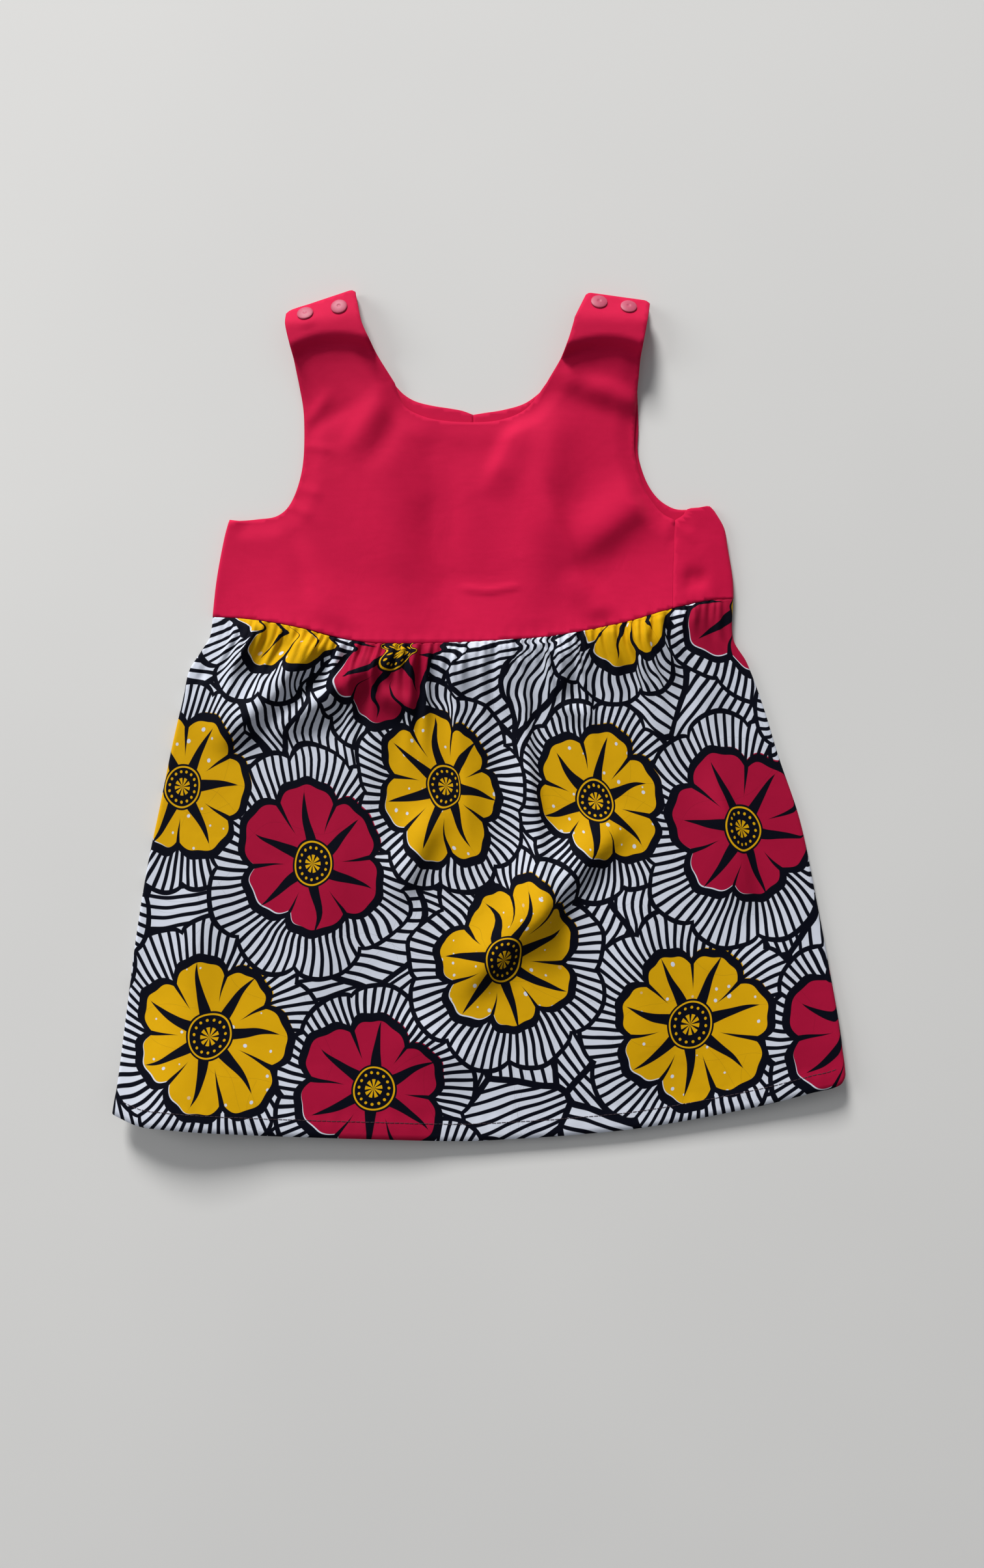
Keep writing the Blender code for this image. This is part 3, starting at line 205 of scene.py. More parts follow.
# Edges of each strap at its levels
STRAP_LEVELS = {
    "left": [
        StrapLevel(219.2, -117.4, -54.3), StrapLevel(237.8, -121.0, -66.3),
        StrapLevel(254.2, -124.7, -74.6), StrapLevel(266.0, -125.1, -77.0),
        StrapLevel(279.0, -125.1, -79.8),
    ],
    "right": [
        StrapLevel(219.2, 46.0, 106.1), StrapLevel(237.8, 57.2, 107.6),
        StrapLevel(252.4, 62.3, 110.2), StrapLevel(266.1, 65.8, 112.6),
        StrapLevel(279.0, 71.8, 113.4),
    ],
}

# Shoulder hump of each strap, along its left and its right edge
STRAP_HUMPS = {
    "left": (
        StrapEdge(ridge_y=252.5, ridge_z=15.5, end_y=264.8, end_z=8.4),
        StrapEdge(ridge_y=254.5, ridge_z=16.5, end_y=279.0, end_z=10.6),
    ),
    "right": (
        StrapEdge(ridge_y=254.0, ridge_z=17.5, end_y=277.6, end_z=8.6),
        StrapEdge(ridge_y=253.0, ridge_z=17.0, end_y=271.8, end_z=8.4),
    ),
}
# Where the steep bend below each hump ends, at the strap's left edge, its middle and its right edge
STRAP_BENDS = {"left": (241.0, 249.0, 245.5), "right": (241.0, 246.5, 241.5)}
BEND_LENGTH = 8.0
BEND_SHARE = 0.52
SNAP_PLACES = {
    "left": (Row(-111.9, 261.4), Row(-89.7, 265.6)),
    "right": (Row(79.8, 269.4), Row(99.0, 266.0)),
}

# Front armholes and neck, each from the strap downwards
FRONT_ARMHOLE_LEFT = [
    Row(-117.4, 219.2), Row(-114.8, 202.6), Row(-114.2, 186.0), Row(-114.8, 169.6),
    Row(-116.9, 157.1), Row(-121.0, 145.0), Row(-126.1, 136.6), Row(-133.5, 131.6),
    Row(-145.0, 129.9), Row(-157.1, 128.6),
]
FRONT_ARMHOLE_RIGHT = [
    Row(106.1, 219.2), Row(105.2, 204.0), Row(104.2, 186.0), Row(104.2, 175.6), Row(107.0, 162.0),
    Row(111.7, 148.0), Row(115.6, 142.1), Row(120.6, 135.7), Row(124.9, 132.1), Row(130.7, 129.0),
]
FRONT_NECK = [
    Row(-54.3, 219.2), Row(-48.8, 205.6), Row(-39.5, 199.5), Row(-25.6, 195.6), Row(-2.6, 194.1),
    Row(16.7, 196.0), Row(32.9, 203.3), Row(46.0, 219.2),
]

# Back neck from the left strap to the small V at the centre, and from the V to the right strap
BACK_NECK_LEFT = [
    Row(-54.3, 219.2), Row(-48.8, 213.4), Row(-41.0, 208.7), Row(-29.5, 205.7), Row(-18.0, 203.9),
    Row(-9.5, 202.3), Row(-2.6, 199.7),
]
BACK_NECK_RIGHT = [
    Row(-2.6, 199.7), Row(5.2, 201.0), Row(16.7, 202.8), Row(30.6, 206.8), Row(39.9, 213.0),
    Row(46.0, 219.2),
]
BACK_ARMHOLE_RIGHT = [
    Row(106.1, 219.2), Row(106.9, 190.1), Row(106.5, 175.7), Row(108.4, 166.0), Row(112.8, 154.3),
    Row(119.1, 145.0), Row(126.3, 139.4), Row(133.5, 136.8), Row(146.3, 137.2), Row(153.6, 138.2),
]
# Top edge of the part that folds onto the front, from the fold to the side seam
WRAP_TOP = [Row(153.6, 138.2), Row(146.3, 137.2), Row(138.8, 136.2), Row(136.5, 132.6), Row(130.7, 129.0)]

# Skirt sides, from the waist down, and the hem from left to right
SKIRT_LEFT = [
    Level(65.2, -174.5), Level(52.0, -176.5), Level(42.0, -182.5), Level(30.0, -190.0),
    Level(13.4, -193.7), Level(-18.1, -201.0), Level(-60.4, -209.6), Level(-101.0, -218.0),
    Level(-149.7, -225.7), Level(-195.5, -231.4), Level(-240.0, -236.8), Level(-262.5, -240.2),
]
SKIRT_RIGHT = [
    Level(77.2, 169.1), Level(50.5, 169.3), Level(35.0, 178.2), Level(6.2, 189.0),
    Level(-26.8, 199.1), Level(-69.5, 213.4), Level(-128.2, 225.5), Level(-167.0, 232.7),
    Level(-207.6, 239.8), Level(-236.0, 243.0),
]
HEM = [
    Row(-240.2, -262.5), Row(-222.0, -271.0), Row(-203.0, -273.6), Row(-182.0, -275.4),
    Row(-135.0, -277.4), Row(-69.9, -279.4), Row(-9.9, -280.6), Row(22.0, -279.2),
    Row(61.5, -276.6), Row(110.9, -271.4), Row(180.4, -258.7), Row(220.1, -248.8),
    Row(238.5, -243.6), Row(243.0, -236.0),
]

# Soft folds: a line, the reach of its left and its right flank, and its height
BODICE_FOLDS = [
    Fold(-72.0, 204.0, -48.0, 84.0, 19.0, 17.0, 1.9),
    Fold(-26.0, 190.0, -22.0, 120.0, 13.0, 12.0, -1.3),
    Fold(-34.0, 128.0, -14.0, 80.0, 9.0, 15.0, -0.8),
    Fold(28.0, 190.0, 12.0, 156.0, 7.0, 15.0, 1.6),
    Fold(50.0, 180.0, 36.0, 78.0, 19.0, 17.0, 1.7),
    Fold(-123.0, 122.0, -112.0, 84.0, 7.0, 7.0, -0.9),
    Fold(-121.0, 112.0, -91.0, 64.0, 12.0, 9.0, 1.1),
    Fold(44.0, 142.0, 66.0, 88.0, 13.0, 7.0, 1.5),
    Fold(66.0, 88.0, 84.0, 64.0, 11.0, 8.0, 1.2),
    Fold(-8.0, 83.6, 8.0, 82.0, 1.6, 1.8, 0.5),
    Fold(8.0, 82.0, 26.0, 84.4, 1.6, 1.8, 0.5),
    Fold(114.0, 146.0, 70.0, 112.0, 18.0, 12.0, 2.3),
    Fold(52.0, 196.0, 40.0, 150.0, 12.0, 14.0, 0.9),
    Fold(-12.0, 178.0, 18.0, 176.0, 18.0, 18.0, -0.8),
    Fold(138.0, 91.0, 150.0, 89.0, 9.0, 7.0, -1.0),
    Fold(-83.0, 176.0, -63.0, 208.0, 9.0, 8.0, 1.0),
    Fold(-66.0, 170.0, -52.0, 200.0, 8.0, 8.0, -0.8),
]
# Small creases that run up to the armholes and the neck
EDGE_FOLDS = [
    Fold(54.0, 224.0, 80.0, 214.0, 8.0, 9.0, 3.0),
    Fold(80.0, 214.0, 106.0, 205.0, 8.0, 9.0, 3.8),
    Fold(-114.0, 190.7, -98.0, 210.6, 4.0, 4.0, 1.0),
    Fold(-114.0, 188.0, -85.0, 203.0, 6.0, 6.0, -1.2),
    Fold(-114.0, 178.5, -96.0, 175.0, 2.6, 2.6, 0.7),
    Fold(-117.0, 151.0, -104.0, 145.5, 2.6, 2.6, 0.6),
    Fold(-123.0, 139.0, -110.0, 132.0, 3.0, 3.0, 0.6),
    Fold(131.5, 127.0, 128.0, 112.0, 2.4, 3.4, -0.7),
    Fold(133.0, 126.0, 142.0, 116.0, 3.0, 3.0, 0.6),
]
SKIRT_FOLDS = [
    Fold(-14.2, 42.0, -12.0, -8.0, 5.0, 11.0, 2.4),
    Fold(-12.0, -8.0, -5.0, -66.0, 5.0, 12.0, 2.2),
    Fold(29.0, 20.0, 34.5, -46.0, 12.0, 5.0, 2.3),
    Fold(34.5, -46.0, 42.3, -98.0, 13.0, 6.0, 2.6),
    Fold(56.1, 46.0, 57.0, 16.0, 9.0, 4.5, 1.8),
    Fold(57.0, 6.0, 72.0, 0.0, 6.0, 5.0, 1.6),
    Fold(157.9, -52.0, 176.9, -113.0, 16.0, 7.0, 2.6),
    Fold(-104.0, 46.0, -125.6, 21.0, 13.0, 7.0, 4.4),
    Fold(-125.6, 21.0, -162.0, -12.0, 14.0, 8.0, 5.0),
    Fold(-70.0, 31.0, -124.0, -5.0, 10.0, 8.0, 4.6),
    Fold(-62.0, 14.0, -46.0, 6.0, 7.0, 7.0, 2.2),
    Fold(86.0, -80.0, 42.0, -128.0, 19.0, 9.0, 4.4),
    Fold(42.0, -128.0, -2.0, -172.0, 20.0, 10.0, 4.8),
    Fold(-30.0, -70.0, -48.0, -112.0, 14.0, 9.0, 3.2),
    Fold(37.5, -98.0, 48.0, -150.0, 15.0, 9.0, 3.0),
    Fold(-150.0, 46.0, -162.0, 6.0, 9.0, 7.0, 1.8),
    Fold(-60.0, 40.0, -72.0, -40.0, 13.0, 11.0, 1.5),
    Fold(104.0, 52.0, 126.0, -20.0, 10.0, 13.0, 2.0),
    Fold(140.0, 62.0, 158.0, 8.0, 9.0, 10.0, 1.9),
    Fold(-42.7, -206.0, -7.8, -232.0, 16.0, 11.0, 1.8),
    Fold(-95.0, -90.0, -110.0, -190.0, 22.0, 20.0, 1.4),
    Fold(96.0, -130.0, 112.0, -225.0, 22.0, 20.0, 1.6),
    Fold(-182.0, -110.0, -196.0, -235.0, 20.0, 18.0, 1.5),
    Fold(-178.0, 48.0, -181.5, 28.0, 3.0, 3.5, -1.6),
    Fold(-181.5, 28.0, -191.0, 13.0, 3.0, 3.5, -1.4),
    Fold(196.0, -150.0, 206.0, -225.0, 18.0, 16.0, 1.4),
]

# Creases of the hidden layers, pressed low under the front
BODICE_BACK_FOLDS = [
    Fold(-96.0, 176.0, -84.0, 96.0, 11.0, 9.0, 0.9),
    Fold(-44.0, 168.0, -62.0, 84.0, 9.0, 12.0, 0.8),
    Fold(30.0, 176.0, 46.0, 92.0, 12.0, 9.0, 1.0),
    Fold(104.0, 120.0, 74.0, 84.0, 9.0, 10.0, 0.8),
]
SKIRT_BACK_FOLDS = [
    Fold(-96.0, 30.0, -128.0, -96.0, 10.0, 14.0, 1.0),
    Fold(-24.0, 22.0, -34.0, -120.0, 12.0, 9.0, 0.9),
    Fold(40.0, 26.0, 62.0, -90.0, 13.0, 9.0, 1.0),
    Fold(118.0, 42.0, 158.0, -104.0, 10.0, 13.0, 0.9),
    Fold(-70.0, -140.0, -104.0, -236.0, 15.0, 12.0, 0.8),
    Fold(92.0, -128.0, 116.0, -226.0, 13.0, 15.0, 0.9),
]
BACK_RELIEF = 0.4
BACK_GATHER_SHARE = 0.22

# Rise of both skirt layers off the surface along the hem, its reach up the cloth, how much raised cloth
# draws in, and how far the back hem stays behind the front one
HEM_LIFT = [
    Lift(-245.0, 7.5), Lift(-205.0, 13.0), Lift(-170.0, 10.5), Lift(-138.0, 6.4), Lift(-80.0, 4.6),
    Lift(-50.0, 3.8), Lift(-15.0, 1.3), Lift(40.0, 0.3), Lift(130.0, 0.4), Lift(190.0, 2.2),
    Lift(225.0, 4.4), Lift(245.0, 4.0),
]
HEM_LIFT_REACH = 120.0
HEM_LIFT_BEND = 1.5
HEM_DRAW = 0.0012
BACK_HEM_RISE = 1.2
BACK_HEM_INSET = 0.6

# Rise of the waist seam over its thick gathers, and how far it fades up and down from the seam
SEAM_RISE = 5.6
SEAM_RISE_UP = 46.0
SEAM_RISE_BEND = 1.6
SEAM_RISE_DOWN = 58.0
SEAM_RISE_SIDE = 48.0

# Small waves that the stitches of the waist seam and the hem draw into the cloth
WAIST_PUCKER = Pucker(height=0.3, wave=1.3, drift=11.0, middle=1.0, reach=4.0)
HEM_PUCKER = Pucker(height=0.22, wave=1.9, drift=17.0, middle=HEM_DEPTH, reach=4.5)
PUCKER_SWAY = 2.0

# Cut of a skirt panel in millimetres, and how much of the cloth its relief takes up
PANEL_WIDTH = 505.0
PANEL_LENGTH = 330.0
RELIEF_TAKE_UP = 1.8

# Gathers that take up a panel's width at the waist: ranges of their spacing, height, half width, length
# and lean
GATHERS = 74
GATHER_SEED = 5
GATHER_SPACING = (0.55, 1.45)
GATHER_HEIGHTS = (0.4, 1.0)
GATHER_HALF_WIDTHS = (1.1, 2.1)
GATHER_LENGTHS = (12.0, 20.0, 30.0, 52.0, 80.0)
GATHER_LEANS = (-0.06, 0.06)

# How high the gathers stand, how they widen and fade down the cloth, and how the cloth sinks between them
GATHER_GAIN = 4.2
GATHER_LENGTH_GAIN = 80.0
GATHER_WIDENING = 26.0
GATHER_FADE = (0.15, 1.25)
GATHER_AT_SEAM = 0.45
GATHER_FULL = 5.0
GATHER_SINK = 0.9
GATHER_SINK_FADE = (10.0, 60.0)

# Blossoms of the print in one repeat, in millimetres on the cloth
REPEAT = (338.0, 292.0)
BLOSSOMS = [
    Blossom(20.0, 222.0, 48.0, 0.4, 6.0, 22.0, "gold"),
    Blossom(66.0, 66.0, 54.0, 1.3, 7.0, 26.0, "gold"),
    Blossom(182.0, 36.0, 51.0, 2.2, 6.0, 20.0, "crimson"),
    Blossom(276.0, 122.0, 53.0, 0.1, 7.0, 24.0, "gold"),
    Blossom(124.0, 184.0, 52.0, 3.0, 6.0, 28.0, "crimson"),
    Blossom(228.0, 238.0, 51.0, 5.1, 7.0, 22.0, "gold"),
]
WANDER = 5.0
WANDER_SCALE = 0.03
EDGE_BLUR = 0.12
OFF_REGISTER = 3.8
OFF_REGISTER_TURN = 0.8

# Petals: how they swell, round off and ripple, as shares of the radius, and their ink lines
PETAL_SWELL = 0.07
PETAL_SECOND_SWELL = 0.05
PETAL_LOBE = 0.31
PETAL_ROUND = 3.3
PETAL_RIPPLE = 0.012
PETAL_LINE = 2.9
VEIN_WIDTH = 5.4
VEIN_REACH = 0.9
VEIN_TAPER = 0.8
VEIN_BEND = 0.07
VEIN_WAVE = 3.6
CLEFT_WIDTH = 4.2
CLEFT_START = 0.42
SHADE_START = 0.28
SHADE_REACH = 0.5
SHADE_NARROWING = 2.4
SHADE_STRENGTH = 0.25

# Heart: its share of the radius, and its gold ring, dots and star
HEART = 0.31
RING_INSET = 1.9
RING_HALF_WIDTH = 0.55
DOTS = 15
DOT_RING = 0.66
DOT_RADIUS = 0.95
STAR_POINTS = 9
STAR_REACH = 0.38
STAR_SHARE = 0.3
STAR_BLUR = 0.04

# Navy rays: in the scalloped halo of each blossom, and in the fans that fill the ground between borders
HALO_LOBES = 9
HALO_ROUND = 3.4
HALO_RAYS = 68
HALO_SWEEP = 0.1
HALO_LINE = 1.8
HALO_LINE_INSET = 1.6
FAN_RAYS = 164
FAN_REACH = 170.0
RAY_HALF_WIDTH = 1.3
RAY_BLUR = 0.16
CELL = 62.0
CELL_RANDOMNESS = 0.85
CELL_LINE = 2.2

# White specks on the gold
SPECK_CELL = 9.0
SPECK_SHARE = 0.22
SPECK_LEAST = 0.5
SPECK_BLUR = 0.01

# Colours, as linear red, green and blue
# Crimson cotton's dark and light ends, mixed by random patches and by painted shade in the hollows between
# the threads
CRIMSON_LOW = (0.50, 0.0015, 0.042)
CRIMSON_HIGH = (0.62, 0.0035, 0.060)
PRINT_WHITE = (0.63, 0.67, 0.77)
NAVY = (0.0014, 0.002, 0.007)
GOLD = (0.66, 0.36, 0.002)
OCHRE = (0.52, 0.21, 0.002)
PRINT_CRIMSON = (0.37, 0.005, 0.038)
DARK_CRIMSON = (0.25, 0.003, 0.026)
SNAP_PINK = (0.37, 0.045, 0.09)
SNAP_PALE = (0.47, 0.075, 0.14)
# Thread's dark and light ends, mixed by random slubs and by painted shade in the grooves of its twist
THREAD_LOW = (0.012, 0.006, 0.012)
THREAD_HIGH = (0.035, 0.02, 0.03)
FLOOR_LOW = (0.645, 0.645, 0.64)
FLOOR_HIGH = (0.72, 0.72, 0.71)

# Weaves, in metres and in crumples a metre
CRIMSON_WEAVE = Cotton(pitch=0.00042, thread_rise=0.00012, thread_strength=0.5,
                       crumples=26.0, crumple_rise=0.0016, crumple_strength=0.55)
PRINT_WEAVE = Cotton(pitch=0.00038, thread_rise=0.0001, thread_strength=0.4,
                     crumples=30.0, crumple_rise=0.0014, crumple_strength=0.5)
CRIMSON_PATCHES = 9.0
# Strength of the painted shade in the hollows between the threads: colour follows the threads' height
WEAVE_HOLLOW_SHADE = 0.25
SLUB_SCALE = 320.0
SLUB_STRETCH = (0.25, 1.0, 1.0)
TWIST_PITCH = 0.00025
TWIST_RISE = 0.00005
PLASTIC_CLOUDS = 260.0
FLOOR_CLOUDS = 2.5

# Finishes, by the shader's own labels
CRIMSON_FINISH = {"Roughness": 0.7, "Specular IOR Level": 0.12, "Sheen Weight": 0.02, "Sheen Roughness": 0.5}
PRINT_FINISH = {"Roughness": 0.66, "Specular IOR Level": 0.07}
PLASTIC_FINISH = {"Roughness": 0.5, "Specular IOR Level": 0.32, "Subsurface Weight": 0.2,
                  "Subsurface Radius": (0.002, 0.0008, 0.0008)}
THREAD_FINISH = {"Roughness": 0.6, "Specular IOR Level": 0.3}
FLOOR_FINISH = {"Roughness": 0.9, "Specular IOR Level": 0.1}

# Floor, lights and camera, in metres
FLOOR_REACH = 4.0
FLOOR_DROP = 0.0002
LAMPS = [
    Lamp("window", (-2.2, 7.4, 3.55), 2.2, 980.0, (1.0, 0.985, 0.965)),
    Lamp("fill", (-2.6, 0.8, 1.5), 1.5, 26.0, (1.0, 0.99, 0.98)),
]
ROOM_COLOUR = (0.95, 0.97, 1.0, 1.0)
ROOM_STRENGTH = 0.24
CAMERA_PLACE = (0.0085, -0.0451, 0.752)
CAMERA_LENS = 26.0
CAMERA_SENSOR = 36.0


# Curves, folds and rolled edges

def smooth(low, high, value):
    """Nought below the low value, one above the high value, and an easy curve between them."""
    share = np.clip((value - low) / (high - low), 0.0, 1.0)
    return share * share * (3.0 - 2.0 * share)


def span_weights(t):
    """Weights of a smooth span's start, its slope there, its end and its slope there."""
    return 2 * t**3 - 3 * t**2 + 1, t**3 - 2 * t**2 + t, 3 * t**2 - 2 * t**3, t**3 - t**2


class Curve:
    """A smooth curve through a short two-column table, level beyond its ends."""

    def __init__(self, rows):
        rows = sorted((float(row[0]), float(row[1])) for row in rows)
        self.keys = np.array([row[0] for row in rows])
        self.values = np.array([row[1] for row in rows])
        before = np.maximum(np.arange(len(rows)) - 1, 0)
        after = np.minimum(np.arange(len(rows)) + 1, len(rows) - 1)
        self.slopes = (self.values[after] - self.values[before]) / (self.keys[after] - self.keys[before])

    def __call__(self, value):
        value = np.clip(value, self.keys[0], self.keys[-1])
        index = np.clip(np.searchsorted(self.keys, value, side="right") - 1, 0, len(self.keys) - 2)
        span = self.keys[index + 1] - self.keys[index]
        start, leave, end, arrive = span_weights((value - self.keys[index]) / span)
        return (start * self.values[index] + leave * span * self.slopes[index]
                + end * self.values[index + 1] + arrive * span * self.slopes[index + 1])


waist = Curve(WAIST)
hem_edge = Curve(HEM)
hem_rise = Curve(HEM_LIFT)
bodice_left = Curve(BODICE_LEFT)
bodice_right = Curve(BODICE_RIGHT)
right_seam = Curve(RIGHT_SEAM)
skirt_left = Curve(SKIRT_LEFT)
skirt_right = Curve(SKIRT_RIGHT)
STRAP_LOW = {side: Curve([(row.y, row.low) for row in rows]) for side, rows in STRAP_LEVELS.items()}
STRAP_HIGH = {side: Curve([(row.y, row.high) for row in rows]) for side, rows in STRAP_LEVELS.items()}


def along(rows):
    """Points about a step apart on the smooth curve through a run of x, y rows, both ends kept."""
    stations = [Vector((row[0], row[1])) for row in rows]
    points = [stations[0]]
    for i, (start, end) in enumerate(zip(stations, stations[1:])):
        before = stations[i - 1] if i else start - (end - start)
        after = stations[i + 2] if i + 2 < len(stations) else end + (end - start)
        chord = (end - start).length
        leave = (end - before) * chord / max((end - before).length, 1e-6)
        arrive = (after - start) * chord / max((after - start).length, 1e-6)
        count = max(1, round(chord / EDGE_STEP))
        for k in range(1, count + 1):
            weights = span_weights(k / count)
            points.append(weights[0] * start + weights[1] * leave + weights[2] * end + weights[3] * arrive)
    return points


def folds_at(folds, x, y):
    """Sum of the soft folds' heights at places."""
    total = np.zeros_like(np.asarray(x, float) + np.asarray(y, float))
    for fold in folds:
        run = np.array((fold.x2 - fold.x1, fold.y2 - fold.y1))
        away_x, away_y = x - fold.x1, y - fold.y1
        share = (away_x * run[0] + away_y * run[1]) / (run @ run)
        side = (run[0] * away_y - run[1] * away_x) / math.hypot(*run)
        reach = np.where(side > 0, fold.right, fold.left)
        fade = (smooth(-FOLD_TIP, FOLD_FADE, share)
                * (1.0 - smooth(1.0 - FOLD_FADE, 1.0 + FOLD_TIP, share)))
        total = total + fold.height * fade * np.exp(-(side / reach) ** 2)
    return total


def puckered(pucker, x, above):
    """Height of the small uneven waves along a row of stitches, at a distance above its edge."""
    wave = np.sin(x / pucker.wave + PUCKER_SWAY * np.sin(x / pucker.drift))
    return pucker.height * wave * np.exp(-((above - pucker.middle) / pucker.reach) ** 2)


def run_distance(runs, x, y):
    """Distance from places to the nearest of some runs of points."""
    nearest = np.full(np.shape(x), 1e9)
    for run in runs:
        for start, end in zip(run, run[1:]):
            way_x, way_y = end[0] - start[0], end[1] - start[1]
            away_x, away_y = x - start[0], y - start[1]
            length = max(way_x * way_x + way_y * way_y, 1e-9)
            share = np.clip((away_x * way_x + away_y * way_y) / length, 0.0, 1.0)
            nearest = np.minimum(nearest, np.hypot(away_x - way_x * share, away_y - way_y * share))
    return nearest


def rolled(distance, radius):
    """Way in from a rounded edge, and share of the rise, at a distance along the cloth."""
    angle = np.clip(distance / radius, 0.0, math.pi / 2)
    flat = distance >= radius * math.pi / 2
    return (np.where(flat, distance - roll_spare(radius), radius * (1.0 - np.cos(angle))),
            np.where(flat, 1.0, np.sin(angle)))


def roll_spare(radius):
    """Cloth that a rounded edge takes up beyond its own width."""
    return radius * (math.pi / 2 - 1)


# Straps and shoulders

def strap_edges(side, y):
    """Places of a strap's left and right edges at a level."""
    return STRAP_LOW[side](y), STRAP_HIGH[side](y)


def strap_share(side, x, y):
    """Share of the way across a strap, from its left edge."""
    low, high = strap_edges(side, y)
    return np.clip((x - low) / (high - low), 0.0, 1.0)


def hump_at(side, share):
    """Size of a strap's shoulder hump at a share of its width."""
    left, right = STRAP_HUMPS[side]
    return StrapEdge(*(a + (b - a) * share for a, b in zip(left, right)))


def plain_hump(side, x, y, ground):
    """Height of the front strap, with its hump, before it is flattened under the snaps."""
    across = strap_share(side, x, y)
    hump = hump_at(side, across)
    left, middle, right = STRAP_BENDS[side]
    bend_y = ((1.0 - across) * (1.0 - 2.0 * across) * left + 4.0 * across * (1.0 - across) * middle
              + across * (2.0 * across - 1.0) * right)
    climb = (BEND_SHARE * smooth(bend_y - BEND_LENGTH, bend_y, y)
             + (1.0 - BEND_SHARE) * smooth(STRAP_FOOT, bend_y, y))
    climb = ground + (hump.ridge_z - ground) * climb
    share = (y - hump.ridge_y) / (hump.end_y - hump.ridge_y)
    full = 2 * RIDGE_CROWN - RIDGE_CROWN * RIDGE_CROWN
    fall = np.where(share < RIDGE_CROWN, share * share / full, (2 * share - RIDGE_CROWN) * RIDGE_CROWN / full)
    return np.where(y <= hump.ridge_y, climb, hump.ridge_z - (hump.ridge_z - hump.end_z) * fall)


def slopes(height, side, x, y, step):
    """Slopes of a strap's height, across and along, over a step to both sides."""
    across = height(side, x + step, y, FRONT_LEVEL) - height(side, x - step, y, FRONT_LEVEL)
    along_it = height(side, x, y + step, FRONT_LEVEL) - height(side, x, y - step, FRONT_LEVEL)
    return across / (2 * step), along_it / (2 * step)


def snap_plane(side, place):
    """Height and slopes of the flat patch of a front strap under one snap."""
    planes = (plain_hump(side, place.x, place.y, FRONT_LEVEL),
              *slopes(plain_hump, side, place.x, place.y, SLOPE_REACH))
    return tuple(float(value) for value in planes)


SNAP_PLANES = {side: [snap_plane(side, place) for place in places]
               for side, places in SNAP_PLACES.items()}


def strap_height(side, x, y, ground):
    """Height of the front strap's middle, flat where the snaps sit."""
    height = plain_hump(side, x, y, ground)
    for place, (level, slope_x, slope_y) in zip(SNAP_PLACES[side], SNAP_PLANES[side]):
        away = np.hypot(x - place.x, y - place.y)
        plane = level + slope_x * (x - place.x) + slope_y * (y - place.y)
        height = height + (plane - height) * (1.0 - smooth(SNAP_FLAT_RADIUS, SNAP_BLEND_RADIUS, away))
    return height


def free_edges():
    """Neck and armhole edges of the front, where it comes down onto the back."""
    runs = [FRONT_ARMHOLE_LEFT, FRONT_NECK, FRONT_ARMHOLE_RIGHT]
    for side in ("left", "right"):
        for edge in (STRAP_LOW, STRAP_HIGH):
            runs.append([(float(edge[side](y)), y) for y in (STRAP_START, STRAP_HALFWAY, STRAP_TOP)])
    return runs


FREE_EDGES = free_edges()


# Bodice: heights and places of its cloth

def kept_above(height, lowest):
    """A height that eases off before it comes down to the lowest."""
    over = height - lowest
    return lowest + 0.5 * (over + np.hypot(over, LAYER_EASE))


def seam_rise(x, y):
    """Rise of bodice and skirt along the waist seam."""
    above = y - waist(x)
    fade = np.where(above > 0, np.clip(1.0 - above / SEAM_RISE_UP, 0.0, 1.0) ** SEAM_RISE_BEND,
                    1.0 - smooth(0.0, SEAM_RISE_DOWN, -above))
    inner = smooth(0.0, SEAM_RISE_SIDE, x - WAIST[0].x) * smooth(0.0, SEAM_RISE_SIDE, WAIST[-1].x - x)
    return SEAM_RISE * fade * inner


def bodice_level(x, y):
    """Height of the middle of the front bodice, and of what folds onto it."""
    above = y - waist(x)
    edge_distance = run_distance(FREE_EDGES, x, y)
    edge_drop = FRONT_LEVEL - (BODICE_SOLID * 1.5 + EDGE_GAP)
    near_edge = 1.0 - smooth(0.0, NECK_FADE, edge_distance)
    side_seam = 1.0 - smooth(0.0, SEAM_FADE, np.abs(x - right_seam(y)))
    folds = BODICE_FOLD_GAIN * folds_at(BODICE_FOLDS, x, y) * smooth(0.0, WAIST_FADE, above)
    folds = folds * (1.0 - near_edge) * (1.0 - side_seam)
    folds = folds + folds_at(EDGE_FOLDS, x, y) * smooth(0.0, EDGE_FOLD_FADE, edge_distance + EDGE_FOLD_START)
    held_up = side_seam * (1.0 - smooth(SEAM_TOP, SEAM_END, y))
    ground = FRONT_LEVEL - edge_drop * near_edge * (1.0 - held_up) + folds + seam_rise(x, y)
    ground = kept_above(ground + puckered(WAIST_PUCKER, x, above), BODICE_LOWEST)
    strap = np.where(x < BACK_NECK_CENTRE, strap_height("left", x, y, ground),
                     strap_height("right", x, y, ground))
    return np.where(y < STRAP_FOOT, ground, strap)


def pressed(relief):
    """Height of a hidden layer's creases, pressed low by the layer on top."""
    return BACK_RELIEF * np.tanh(np.maximum(relief, 0.0))


def bodice_back_level(x, y):
    """Height of the middle of the bodice's back, away from its sides."""
    fade = smooth(0.0, ROUND_FADE, x - bodice_left(y)) * smooth(0.0, ROUND_FADE, bodice_right(y) - x)
    return BODICE_BACK_LEVEL + pressed(folds_at(BODICE_BACK_FOLDS, x, y)) * fade


